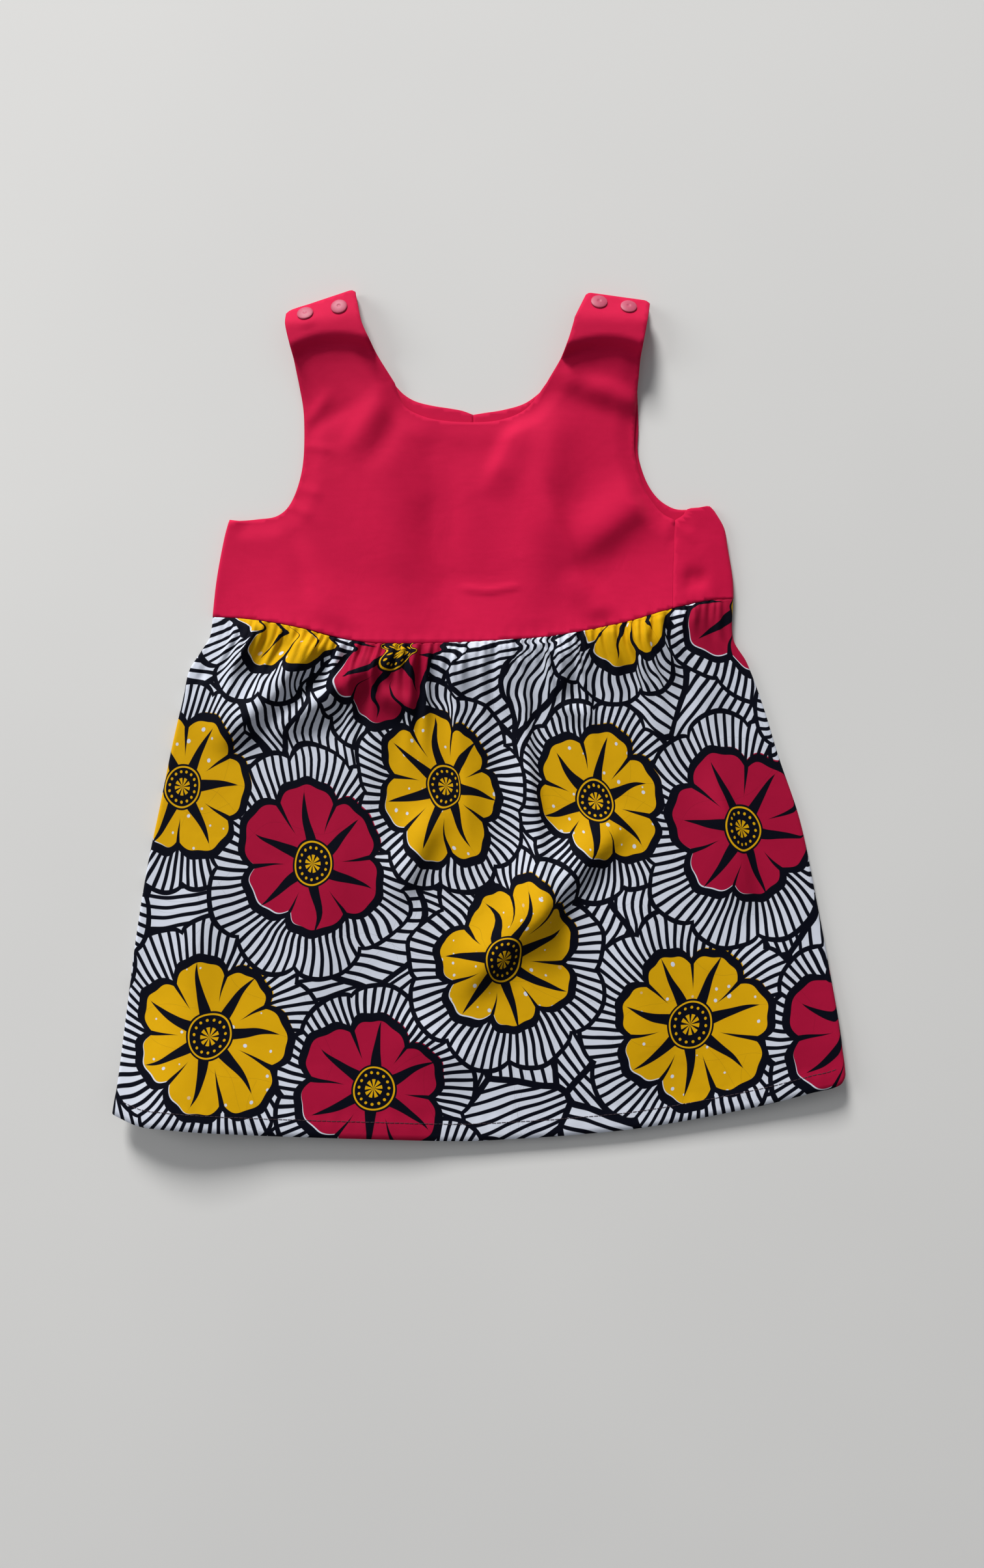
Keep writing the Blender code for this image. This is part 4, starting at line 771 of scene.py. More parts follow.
def place_front(p, y):
    """Middle of the front bodice's cloth: rounded down to the seam along the left side."""
    edge = bodice_left(y)
    inward, rise = rolled(p - edge + roll_spare(FRONT_ROLL), FRONT_ROLL)
    x = edge + inward
    level = FRONT_LEVEL + (bodice_level(x, y) - FRONT_LEVEL) * smooth(0.0, ROUND_FADE, inward)
    return x, y, level - FRONT_ROLL * (1.0 - rise)


def fold_centre(y):
    """Place across of the middle of the side fold's turn."""
    return bodice_right(y) - WRAP_RADIUS


def place_wrap(p, y):
    """Middle of the right back half's cloth, folded round the side onto the front."""
    centre = fold_centre(y)
    turn = np.clip((p - centre) / WRAP_RADIUS, 0.0, math.pi)
    bend_x = centre + WRAP_RADIUS * np.sin(turn)
    bend_z = BODICE_BACK_LEVEL + WRAP_RADIUS * (1.0 - np.cos(turn))
    x = 2 * centre + WRAP_RADIUS * math.pi - p
    top = FRONT_LEVEL + (bodice_level(x, y) - FRONT_LEVEL) * smooth(0.0, WRAP_SETTLE, centre - x)
    under = p <= centre
    over = p - centre >= WRAP_RADIUS * math.pi
    return (np.where(under, p, np.where(over, x, bend_x)), y,
            np.where(under, bodice_back_level(p, y), np.where(over, top, bend_z)))


def strap_fold(side, p):
    """Line of a back strap's fold at the shoulder, and its radius."""
    hump = hump_at(side, strap_share(side, p, STRAP_TOP))
    above = strap_height(side, p, hump.end_y - STRAP_END_INSET, FRONT_LEVEL) - STRAP_DROP * FOLD_EASE
    radius = (above - BODICE_BACK_LEVEL) / 2
    return hump.end_y + FOLD_OVERHANG - radius, radius


def strap_shift(side, p, y):
    """How far a strap's cloth leans across between its fold and a level."""
    low, high = strap_edges(side, strap_fold(side, p)[0])
    low_there, high_there = strap_edges(side, y)
    share = (p - low) / (high - low)
    return (low_there - low) * (1.0 - share) + (high_there - high) * share


def place_back_strap(side, p, q):
    """Middle of a back strap's cloth: flat, over the shoulder fold, then up under the front strap."""
    fold_y, radius = strap_fold(side, p)
    turn = np.clip((q - fold_y) / radius, 0.0, math.pi)
    y = 2 * fold_y + radius * math.pi - q
    x = p + strap_shift(side, p, y)
    tilt, slope = slopes(strap_height, side, x, y, SLOPE_STEP)
    level = strap_height(side, x, y, FRONT_LEVEL) - STRAP_DROP * np.sqrt(1.0 + slope * slope + tilt * tilt)
    start = BODICE_BACK_LEVEL + 2 * radius
    level = start + (level - start) * smooth(0.0, FOLD_SETTLE, fold_y - y)
    under = q <= fold_y
    over = q - fold_y >= radius * math.pi
    bend_y = fold_y + radius * np.sin(turn)
    bend_z = BODICE_BACK_LEVEL + radius * (1.0 - np.cos(turn))
    return (np.where(over, x, p), np.where(under, q, np.where(over, y, bend_y)),
            np.where(under, BODICE_BACK_LEVEL, np.where(over, level, bend_z)))


def place_back_left(p, q):
    """Middle of the left back half's cloth, rounded up to the side seam."""
    edge = bodice_left(q)
    inward, rise = rolled(p - edge + roll_spare(BODICE_BACK_ROLL), BODICE_BACK_ROLL)
    x = edge + inward
    flat = (x, q, bodice_back_level(x, q) + BODICE_BACK_ROLL * (1.0 - rise))
    strap = place_back_strap("left", p, q)
    return tuple(np.where(q > RETURN_START, there, here) for there, here in zip(strap, flat))


def place_back_right(p, q):
    """Middle of the right back half's cloth."""
    strap = place_back_strap("right", p, q)
    return tuple(np.where(q > RETURN_START, there, here) for there, here in zip(strap, place_wrap(p, q)))


# Skirt: heights and places of its cloth

def hem_lift(x, y):
    """Rise of both skirt layers off the surface."""
    return hem_rise(x) * (1.0 - smooth(0.0, HEM_LIFT_REACH, y - hem_edge(x))) ** HEM_LIFT_BEND


def drawn_in(x, y, lift):
    """Place of the raised hem, which draws in to the middle as it rises."""
    share = 1.0 - HEM_DRAW * lift
    return x * share, y * share


def gather_table():
    """Each gather's share of the waist, height, half width at the waist, length and lean."""
    dice = np.random.default_rng(GATHER_SEED)
    steps = dice.uniform(*GATHER_SPACING, GATHERS + 1)
    shares = np.cumsum(steps)[:-1] / steps.sum()
    return [(share, dice.uniform(*GATHER_HEIGHTS), dice.uniform(*GATHER_HALF_WIDTHS),
             dice.choice(GATHER_LENGTHS), dice.uniform(*GATHER_LEANS)) for share in shares]


GATHER_TABLE = gather_table()


def gather_relief(share, drop, width):
    """Height of the gathers at a share of the width and a drop below the waist."""
    total = np.zeros_like(share)
    for place, height, half, length, lean in GATHER_TABLE:
        across = (share - place) * width - lean * drop
        reach = half * (1.0 + drop / GATHER_WIDENING)
        fade = 1.0 - smooth(GATHER_FADE[0] * length, GATHER_FADE[1] * length, drop)
        total = total + ((GATHER_GAIN * height + length / GATHER_LENGTH_GAIN) * fade
                         * np.exp(-(across / reach) ** 2))
    sink = GATHER_SINK * (1.0 - smooth(*GATHER_SINK_FADE, drop))
    return (total - sink) * (GATHER_AT_SEAM + (1.0 - GATHER_AT_SEAM) * smooth(0.0, GATHER_FULL, drop))


def skirt_side_fade(x, y):
    """How much of the folds is left towards the rounded sides of the skirt."""
    return smooth(0.0, SKIRT_SIDE_FADE, x - skirt_left(y)) * smooth(0.0, SKIRT_SIDE_FADE, skirt_right(y) - x)


def skirt_front_level(x, y, share):
    """Height of the middle of the skirt's front, away from its rounded sides."""
    drop = waist(x) - y
    above_hem = y - hem_edge(x)
    relief = FOLD_GAIN * folds_at(SKIRT_FOLDS, x, y) * smooth(0.0, SKIRT_WAIST_FADE, drop)
    relief = relief + gather_relief(share, drop, skirt_right(y) - skirt_left(y))
    relief = (relief + puckered(HEM_PUCKER, x, above_hem)) * skirt_side_fade(x, y)
    ridge = HEM_RIDGE * (1.0 - smooth(HEM_DEPTH - HEM_RIDGE_INNER, HEM_DEPTH + HEM_RIDGE_OUTER, above_hem))
    return kept_above(FRONT_LEVEL + relief + ridge + seam_rise(x, y), SKIRT_LOWEST)


def skirt_back_level(x, y, share):
    """Height of the middle of the skirt's back, with low creases and gathers."""
    gathers = gather_relief(1.0 - share, waist(x) - y, skirt_right(y) - skirt_left(y))
    relief = folds_at(SKIRT_BACK_FOLDS, x, y) + BACK_GATHER_SHARE * gathers
    return SKIRT_BACK_LEVEL + pressed(relief) * skirt_side_fade(x, y)


def place_skirt(p, y, share, radius, level):
    """Middle of a skirt layer, with both sides rounded to the side seams."""
    left, right = skirt_left(y), skirt_right(y)
    spare = roll_spare(abs(radius))
    inward, rise = rolled(p - left + spare, abs(radius))
    from_right, rise_right = rolled(right + spare - p, abs(radius))
    x = np.where(inward < from_right, left + inward, right - from_right)
    lift = hem_lift(x, y)
    z = level(x, y, share) - radius * (1.0 - np.minimum(rise, rise_right)) + lift
    x, y = drawn_in(x, y, lift)
    return np.stack((x, y, z), axis=-1)


# Cloth as a shell with two sides

def mesh_normals(middle, faces):
    """Normal of each point of a sheet."""
    mesh = bpy.data.meshes.new("sheet")
    mesh.from_pydata(middle.tolist(), [], faces)
    normals = np.zeros(len(middle) * 3)
    mesh.vertices.foreach_get("normal", normals)
    bpy.data.meshes.remove(mesh)
    return normals.reshape(-1, 3)


def rim_edges(faces):
    """Edges that belong to one face only, each in its face's direction."""
    seen = {}
    for face in faces:
        for start, end in zip(face, face[1:] + face[:1]):
            key = (min(start, end), max(start, end))
            seen[key] = None if key in seen else (start, end)
    return [edge for edge in seen.values() if edge]


def rim_directions(middle, normals, edges):
    """Direction out of the cloth at each point of its rim, and nought at the others."""
    outward = np.zeros_like(middle)
    for start, end in edges:
        side = np.cross(middle[end] - middle[start], normals[start] + normals[end])
        side = side / max(np.linalg.norm(side), 1e-9)
        outward[start] += side
        outward[end] += side
    return outward / np.maximum(np.linalg.norm(outward, axis=1, keepdims=True), 1e-9)


def new_object(name, data):
    """An object in the scene for a mesh, a light or a camera."""
    item = bpy.data.objects.new(name, data)
    bpy.context.scene.collection.objects.link(item)
    return item


def shell_object(name, points, faces, places, sharp, material):
    """An object for a shell of cloth, with its places on the flat cloth as UV and its sharp edges."""
    mesh = bpy.data.meshes.new(name)
    mesh.from_pydata(points.tolist(), [], faces)
    uv = mesh.uv_layers.new(name="cloth")
    corners = np.zeros(len(mesh.loops), int)
    mesh.loops.foreach_get("vertex_index", corners)
    uv.data.foreach_set("uv", places[corners].ravel())
    mesh.materials.append(material)
    mesh.shade_smooth()
    ends = np.zeros(2 * len(mesh.edges), int)
    mesh.edges.foreach_get("vertices", ends)
    mesh.edges.foreach_set("use_edge_sharp", sharp[ends.reshape(-1, 2)].all(axis=1))
    mesh.update()
    return new_object(name, mesh)


def cloth_piece(name, middle, faces, wall, flat, material, rounding=1.0):
    """A shell of cloth on both sides of its middle, with a rim that is soft where it is rounded fully."""
    middle = middle - np.array((PAGE_CENTRE_X, 0.0, 0.0))
    count = len(middle)
    wall, rounding = (np.broadcast_to(size, (count,))[:, None] for size in (wall, rounding))
    normals = mesh_normals(middle, faces)
    edges = rim_edges(faces)
    on_rim = np.zeros(count, bool)
    on_rim[[vertex for edge in edges for vertex in edge]] = True
    rim_way = (rim_directions(middle, normals, edges) * (wall * rounding))[on_rim]
    upper = middle + normals * wall / 2
    lower = middle - normals * wall / 2
    upper[on_rim] -= rim_way * RIM_INSET
    lower[on_rim] -= rim_way * RIM_INSET
    points = np.concatenate((upper, lower, middle[on_rim] + rim_way * RIM_BULGE)) * MM
    places = np.concatenate((flat, flat, flat[on_rim])) * MM
    sharp = np.zeros(len(points), bool)
    sharp[:count] = on_rim & (rounding[:, 0] < 1.0)
    rim_index = {vertex: 2 * count + i for i, vertex in enumerate(np.flatnonzero(on_rim))}
    shell = [tuple(face) for face in faces]
    shell += [tuple(vertex + count for vertex in reversed(face)) for face in faces]
    for start, end in edges:
        shell.append((end, start, rim_index[start], rim_index[end]))
        shell.append((rim_index[end], rim_index[start], start + count, end + count))
    return shell_object(name, points, shell, places, sharp, material)


def inside(outline, x, y):
    """Which places lie inside a closed outline."""
    found = np.zeros(np.shape(x), bool)
    for i, start in enumerate(outline):
        end = outline[(i + 1) % len(outline)]
        spans = (start[1] > y) != (end[1] > y)
        height = end[1] - start[1] if end[1] != start[1] else 1e-9
        found ^= spans & (x < start[0] + (y - start[1]) * (end[0] - start[0]) / height)
    return found


def scattered(outline, lines):
    """Staggered points inside an outline, clear of its edge and of the lines already there."""
    corners = np.array([tuple(point) for point in outline])
    low, high = corners.min(0), corners.max(0)
    rise = BODICE_STEP * math.sqrt(3) / 2
    rows = np.arange(low[1] + rise / 2, high[1], rise)
    points = np.array([(x + BODICE_STEP / 2 * (i % 2), y) for i, y in enumerate(rows)
                       for x in np.arange(low[0], high[0] + BODICE_STEP, BODICE_STEP)])
    points = points[inside(corners, points[:, 0], points[:, 1])]
    for run in [outline + outline[:1]] + lines:
        run = [tuple(point) for point in run]
        points = points[run_distance([run], points[:, 0], points[:, 1]) > EDGE_CLEARANCE]
    return [Vector(point) for point in points]


def spaced(points):
    """The points without those that lie on the one before."""
    kept = []
    for point in points:
        if not kept or (point - kept[-1]).length > POINT_GAP:
            kept.append(point)
    if (kept[0] - kept[-1]).length < POINT_GAP:
        kept.pop()
    return kept


def cut_cloth(outline, lines):
    """Points and triangles that fill an outline, with edges along the lines of its tight folds."""
    corners = outline + scattered(outline, lines)
    edges = [(i, (i + 1) % len(outline)) for i in range(len(outline))]
    for line in lines:
        edges += [(len(corners) + i, len(corners) + i + 1) for i in range(len(line) - 1)]
        corners = corners + line
    flat, _, faces, *_ = delaunay_2d_cdt(corners, edges, [], 1, 1e-4)
    return np.array([tuple(point) for point in flat]), [list(face) for face in faces]


# Outlines of the bodice's pieces

def shifted(rows, x=0.0, y=0.0):
    """A run of rows moved on the page."""
    return [Row(row.x + x, row.y + y) for row in rows]


def waist_run(start_x, end_x, offset):
    """Points along the waist seam between two places, moved up or down off it."""
    count = max(2, round(abs(end_x - start_x) / EDGE_STEP))
    return [Vector((x, float(waist(x)) + offset)) for x in np.linspace(start_x, end_x, count + 1)]


def level_run(levels, x=0.0):
    """Points along an edge given by its levels, moved across."""
    return along([Row(level.x + x, level.y) for level in levels])


def return_end(side, x):
    """Level at which a back strap ends, under the front strap and past the snaps."""
    first, second = SNAP_PLACES[side]
    share = (x - first.x) / (second.x - first.x)
    return first.y + (second.y - first.y) * share - STRAP_TAIL


def fold_edge(side, corner):
    """Points up one edge of a back strap's flat pattern, over its shoulder fold to a corner."""
    fold_y, radius = (float(value) for value in strap_fold(side, corner.x))
    points = [Vector((corner.x, fold_y + math.pi * radius * turn)) for turn in TURNS]
    last = points[-1]
    count = max(2, round((corner.y - last.y) / EDGE_STEP))
    return points + [last + (corner - last) * k / count for k in range(1, count)]


def strap_run(side, inset, folded):
    """Outline up the right edge of a strap, over its end and down its left edge."""
    up = [Vector((float(STRAP_HIGH[side](y)) - inset, y)) for y in STRAP_STATIONS]
    down = [Vector((float(STRAP_LOW[side](y)) + inset, y)) for y in reversed(STRAP_STATIONS)]
    low, high = (float(edge) for edge in strap_edges(side, STRAP_TOP))
    end = []
    for k in range(STRAP_END_COUNT + 1):
        share = 1.0 - k / STRAP_END_COUNT
        x = low + inset + (high - low - 2 * inset) * share
        corner = max(0.0, 1.0 - min(share, 1.0 - share) / STRAP_CORNER)
        y = hump_at(side, share).end_y - STRAP_CORNER_DROP * corner * corner
        if folded:
            fold_y, radius = (float(value) for value in strap_fold(side, x))
            y = 2 * fold_y + math.pi * radius - return_end(side, x)
        end.append(Vector((x, y)))
    if folded:
        return up + fold_edge(side, end[0]) + end + fold_edge(side, end[-1])[::-1] + down
    rise = [up[-1].lerp(end[0], share) for share in QUARTERS]
    fall = [end[-1].lerp(down[0], share) for share in QUARTERS]
    return up + rise + end + fall + down


def shoulder_lines(side):
    """Lines of points across a back strap along the turns of its shoulder fold."""
    low, high = (float(edge) for edge in strap_edges(side, STRAP_TOP))
    across = np.linspace(low + BACK_EDGE_INSET, high - BACK_EDGE_INSET, STRAP_END_COUNT + 1)
    fold_y, radius = strap_fold(side, across)
    return [[Vector(place) for place in zip(across, fold_y + math.pi * radius * turn)] for turn in TURNS]


def roll_lines(outline, edge, radius):
    """Lines of points along a rounded left edge, straight in from the outline's own points."""
    side = [point for point in outline if abs(point.x - (float(edge(point.y)) - roll_spare(radius))) < 0.2]
    side = sorted(side, key=lambda point: point.y)[1:-1]
    return [[Vector((point.x + share * radius * math.pi / 2, point.y)) for point in side]
            for share in ROLL_STATIONS]


def side_fold_lines():
    """Lines of points up the side fold, at the turns of its bend and on both flat sides."""
    low, top = WAIST[-1].y + SIDE_FOLD_FOOT, BODICE_RIGHT[-1].y - SIDE_FOLD_TOP
    stations = top - (top - low) * np.linspace(0.0, 1.0, SIDE_FOLD_ROWS) ** SIDE_FOLD_CROWDING
    return [[Vector((float(fold_centre(y)) + WRAP_RADIUS * math.pi * turn, y)) for y in stations]
            for turn in (-FLAT_TURN,) + TURNS + (1.0 + FLAT_TURN,)]


def bend_run(level_at, turns):
    """Points across the side fold along an edge whose level is known by its place across."""
    points = []
    for turn in turns:
        angle = math.pi * turn
        y = float(level_at(fold_centre(level_at(WAIST[-1].x)) + WRAP_RADIUS * math.sin(angle)))
        points.append(Vector((float(fold_centre(y)) + WRAP_RADIUS * angle, y)))
    return points


def wrapped(point):
    """Place on the right back half's flat pattern of a place on the front that it folds over."""
    return Vector((2 * float(fold_centre(point.y)) + math.pi * WRAP_RADIUS - point.x, point.y))


def bodice_rim(x, y):
    """How much the bodice's edges are rounded: little along the seam on the front, where two pieces meet."""
    near_seam = (np.abs(x - right_seam(y)) < 1.0) & (y < RIGHT_SEAM[-1].y - 1.0)
    return np.where(near_seam, SEAM_ROUNDING, 1.0)


def bodice_piece(name, outline, lines, place, material):
    """A piece of the bodice, cut to its outline and laid in its place."""
    flat, faces = cut_cloth(outline, lines)
    x, y, z = place(flat[:, 0], flat[:, 1])
    return cloth_piece(name, np.stack((x, y, z), -1), faces, BODICE_WALL, flat, material, bodice_rim(x, y))


def make_bodice_front(material):
    """The front bodice with both front straps."""
    half = SEAM_GAP / 4
    seam = level_run(RIGHT_SEAM)
    outline = waist_run(WAIST[0].x, seam[0].x, half)
    outline[0].x -= roll_spare(FRONT_ROLL)
    outline += seam[1:-1] + along(shifted(FRONT_ARMHOLE_RIGHT[::-1], x=-half))
    outline += strap_run("right", 0.0, False) + along(FRONT_NECK[::-1])
    outline += strap_run("left", 0.0, False) + along(FRONT_ARMHOLE_LEFT)
    outline += level_run(BODICE_LEFT[::-1], -roll_spare(FRONT_ROLL))[:-1]
    outline = spaced(outline)
    lines = roll_lines(outline, bodice_left, FRONT_ROLL)
    return bodice_piece("bodice_front_cloth", outline, lines, place_front, material)


def make_bodice_back_left(material):
    """The left back half with its strap, rounded up to the side seam."""
    half = SEAM_GAP / 4
    centre = BACK_NECK_CENTRE - half
    outline = waist_run(WAIST[0].x, centre, half)
    outline[0].x -= roll_spare(BODICE_BACK_ROLL)
    outline += along([Row(centre, float(waist(centre)) + half), Row(centre, BACK_NECK_LEFT[-1].y)])[1:-1]
    outline += along(shifted(BACK_NECK_LEFT[::-1], x=-half))
    outline += strap_run("left", BACK_EDGE_INSET, True)
    outline += along(shifted(FRONT_ARMHOLE_LEFT, x=BACK_EDGE_INSET, y=-BACK_EDGE_INSET))
    lowered = BODICE_LEFT[:-1] + [Level(BODICE_LEFT[-1].y - BACK_EDGE_INSET, BODICE_LEFT[-1].x)]
    outline += level_run(lowered[::-1], -roll_spare(BODICE_BACK_ROLL))[:-1]
    outline = spaced(outline)
    lines = roll_lines(outline, bodice_left, BODICE_BACK_ROLL) + shoulder_lines("left")
    return bodice_piece("bodice_back_left_cloth", outline, lines, place_back_left, material)


def make_bodice_back_right(material):
    """The right back half with its strap, folded round the side to the seam on the front."""
    half = SEAM_GAP / 4
    centre = BACK_NECK_CENTRE + half
    fold_foot = float(fold_centre(WAIST[-1].y))
    seam_foot = float(right_seam(SEAM_FOOT)) + half
    corner = BODICE_RIGHT[-1]
    flat_x = corner.x - WRAP_RADIUS
    top = [row for row in WRAP_TOP[::-1] if row.x < corner.x - CORNER_REACH]
    outline = waist_run(centre, fold_foot, half)
    outline += bend_run(lambda x: waist(x) + half, TURNS[1:-1])
    outline += [wrapped(point) for point in waist_run(fold_foot, seam_foot, half)]
    outline += [wrapped(point) for point in level_run(RIGHT_SEAM, half)[1:]]
    outline += [wrapped(point) for point in along(shifted(top, x=half))]
    outline += [wrapped(Vector((flat_x, corner.y)))]
    outline += bend_run(lambda x: corner.y, TURNS[-2:0:-1])
    outline += [Vector((flat_x, corner.y))]
    outline += along([row for row in BACK_ARMHOLE_RIGHT[::-1] if row.x < corner.x - CORNER_REACH])
    outline += strap_run("right", BACK_EDGE_INSET, True)
    outline += along(shifted(BACK_NECK_RIGHT[::-1], x=half))
    outline += along([Row(centre, BACK_NECK_RIGHT[0].y), Row(centre, float(waist(centre)) + half)])[1:-1]
    lines = side_fold_lines() + shoulder_lines("right")
    return bodice_piece("bodice_back_right_cloth", spaced(outline), lines, place_back_right, material)


# Grid of the skirt's layers

def skirt_shares():
    """Shares across a skirt layer, closer together along its rounded sides."""
    edge = np.array(SIDE_STATIONS) / (HEM[-1].x - HEM[0].x)
    middle = np.linspace(edge[-1], 1.0 - edge[-1], SKIRT_COLUMNS)[1:-1]
    return np.concatenate((edge, middle, 1.0 - edge[::-1]))


def skirt_drops():
    """Shares down a skirt layer, closer together along the gathers."""
    top = np.arange(WAIST_ROWS) * WAIST_ROW_STEP / PANEL_LENGTH
    return np.concatenate((top, np.linspace(top[-1], 1.0, SKIRT_ROWS)[1:]))


def cloth_widths(middle):
    """Place across the flat cloth of each point of a gathered grid."""
    steps = np.diff(middle, axis=1)
    runs = np.hypot(steps[..., 0], steps[..., 2] * RELIEF_TAKE_UP)
    widths = np.concatenate((np.zeros((len(runs), 1)), np.cumsum(runs, axis=1)), axis=1)
    return widths * (PANEL_WIDTH / widths[:, -1:])


def make_skirt(name, radius, level, hem_up, inset, material):
    """A layer of the skirt as a grid from the waist seam to the hem."""
    spare = roll_spare(abs(radius))
    shares, drops = np.meshgrid(skirt_shares(), skirt_drops())
    top_x = WAIST[0].x + (WAIST[-1].x - WAIST[0].x) * shares
    top_y = waist(top_x) - SEAM_GAP / 4
    hem_x = HEM[0].x + inset + (HEM[-1].x - HEM[0].x - 2 * inset) * shares
    y = top_y + (hem_edge(hem_x) + hem_up - top_y) * drops
    left, right = skirt_left(y), skirt_right(y)
    p = left - spare + (right - left + 2 * spare) * shares
    middle = place_skirt(p, y, shares, radius, level)
    rows, columns = shares.shape
    faces = [[row * columns + k, (row + 1) * columns + k, (row + 1) * columns + k + 1, row * columns + k + 1]
             for row in range(rows - 1) for k in range(columns - 1)]
    above_hem = (1.0 - drops) * PANEL_LENGTH
    hem_share = 1.0 - smooth(HEM_DEPTH - HEM_SOFTNESS, HEM_DEPTH + HEM_SOFTNESS, above_hem)
    wall = SKIRT_WALL + (HEM_WALL - SKIRT_WALL) * hem_share
    flat = np.stack((cloth_widths(middle), above_hem), -1).reshape(-1, 2)
    return cloth_piece(name, middle.reshape(-1, 3), faces, wall.ravel(), flat, material)


# Snap caps and stitches

def applied(item):
    """Selects one object alone and takes its place and turn into its mesh."""
    bpy.ops.object.select_all(action="DESELECT")
    item.select_set(True)
    bpy.context.view_layer.objects.active = item
    bpy.ops.object.transform_apply(location=True, rotation=True, scale=True)
    return item


def pick_faces(item, fits):
    """In edit mode, selects the faces that fit."""
    bpy.ops.mesh.select_mode(type="FACE")
    bpy.ops.mesh.select_all(action="DESELECT")
    build = bmesh.from_edit_mesh(item.data)
    for face in build.faces:
        face.select_set(fits(face))
    bmesh.update_edit_mesh(item.data)


def shaped_cap(material):
    """The domed cap of a snap, with a rounded rim and a small hollow where the prong was pressed."""
    bpy.ops.mesh.primitive_cylinder_add(vertices=CAP_SIDES, radius=CAP_RADIUS * MM, depth=CAP_RIM * MM,
                                        location=(0.0, 0.0, (CAP_FOOT + CAP_RIM / 2) * MM))
    item = applied(bpy.context.object)
    bpy.ops.object.mode_set(mode="EDIT")
    pick_faces(item, lambda face: face.normal.z > 0.9)
    for inset, rise in CAP_STEPS:
        bpy.ops.mesh.inset(thickness=inset * MM, depth=rise * MM)
    bpy.ops.object.mode_set(mode="OBJECT")
    bevel = item.modifiers.new("rim", "BEVEL")
    bevel.width = CAP_BEVEL * MM
    bevel.segments = 2
    bevel.limit_method = "ANGLE"
    bpy.ops.object.modifier_apply(modifier=bevel.name)
    bpy.ops.object.shade_smooth_by_angle(angle=math.radians(CAP_SMOOTH_ANGLE))
    item.data.materials.append(material)
    return item


def placed_copy(model, name, place, turn):
    """A copy of a modelled piece with its own mesh, moved and turned."""
    item = new_object(name, model.data.copy())
    item.data.name = name
    item.location = Vector(place) * MM
    item.rotation_euler = turn
    return item


def dressed(piece, node):
    """Puts a piece on the body in the place of a plain solid."""
    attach(piece, "root")
    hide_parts(node)


def make_caps(material):
    """The four caps on the front straps, each in the place of its plain solid."""
    model = shaped_cap(material)
    for side, places in SNAP_PLACES.items():
        for number, (place, plane) in enumerate(zip(places, SNAP_PLANES[side]), 1):
            level, slope_x, slope_y = plane
            name = f"snap_{side}_{number}_cap"
            up = Vector((-slope_x, -slope_y, 1.0)).normalized()
            cap = applied(placed_copy(model, name + "_domed", (place.x - PAGE_CENTRE_X, place.y, level),
                                      up.to_track_quat("Z", "Y").to_euler()))
            dressed(cap, name)
    bpy.data.objects.remove(model)


def shaped_stitch(material):
    """One short stitch of thread with drawn-in ends."""
    bpy.ops.mesh.primitive_cylinder_add(vertices=STITCH_SIDES, radius=THREAD_RADIUS * MM,
                                        depth=STITCH_LENGTH * MM, rotation=(0.0, math.pi / 2, 0.0))
    item = applied(bpy.context.object)
    bpy.ops.object.mode_set(mode="EDIT")
    pick_faces(item, lambda face: abs(face.normal.x) > 0.9)
    bpy.ops.mesh.inset(thickness=THREAD_RADIUS * STITCH_TAPER * MM, depth=THREAD_RADIUS * STITCH_TIP * MM,
                       use_individual=True)
    bpy.ops.object.mode_set(mode="OBJECT")
    bpy.ops.object.shade_smooth()
    item.data.materials.append(material)
    return item


def stitch_row(name, material, places):
    """A row of stitches, each between two places on the cloth's surface, joined into one piece."""
    model = shaped_stitch(material)
    stitches = []
    for number, (start, end) in enumerate(places):
        way = (Vector(end) - Vector(start)).normalized()
        middle = (Vector(start) + Vector(end)) / 2 - Vector((PAGE_CENTRE_X, 0.0, 0.0))
        stitches.append(placed_copy(model, f"{name}_{number}", middle,
                                    way.to_track_quat("X", "Z").to_euler()))
    bpy.data.objects.remove(model)
    row = applied(stitches[0])
    for stitch in stitches:
        stitch.select_set(True)
    bpy.ops.object.join()
    row.name = name
    return row


def hem_places():
    """Ends of the stitches along the hem, on the front of the skirt."""
    places = []
    for start in np.arange(HEM[0].x + STITCH_MARGIN, HEM[-1].x - STITCH_MARGIN, STITCH_PITCH):
        x = np.array((start, start + STITCH_LENGTH))
        y = hem_edge(x) + HEM_DEPTH - STITCH_INSET
        left, right = skirt_left(y), skirt_right(y)
        lift = hem_lift(x, y)
        z = skirt_front_level(x, y, (x - left) / (right - left)) + lift + HEM_WALL / 2
        places.append(list(zip(*drawn_in(x, y, lift), z)))
    return places


# Sums worked out by shader nodes

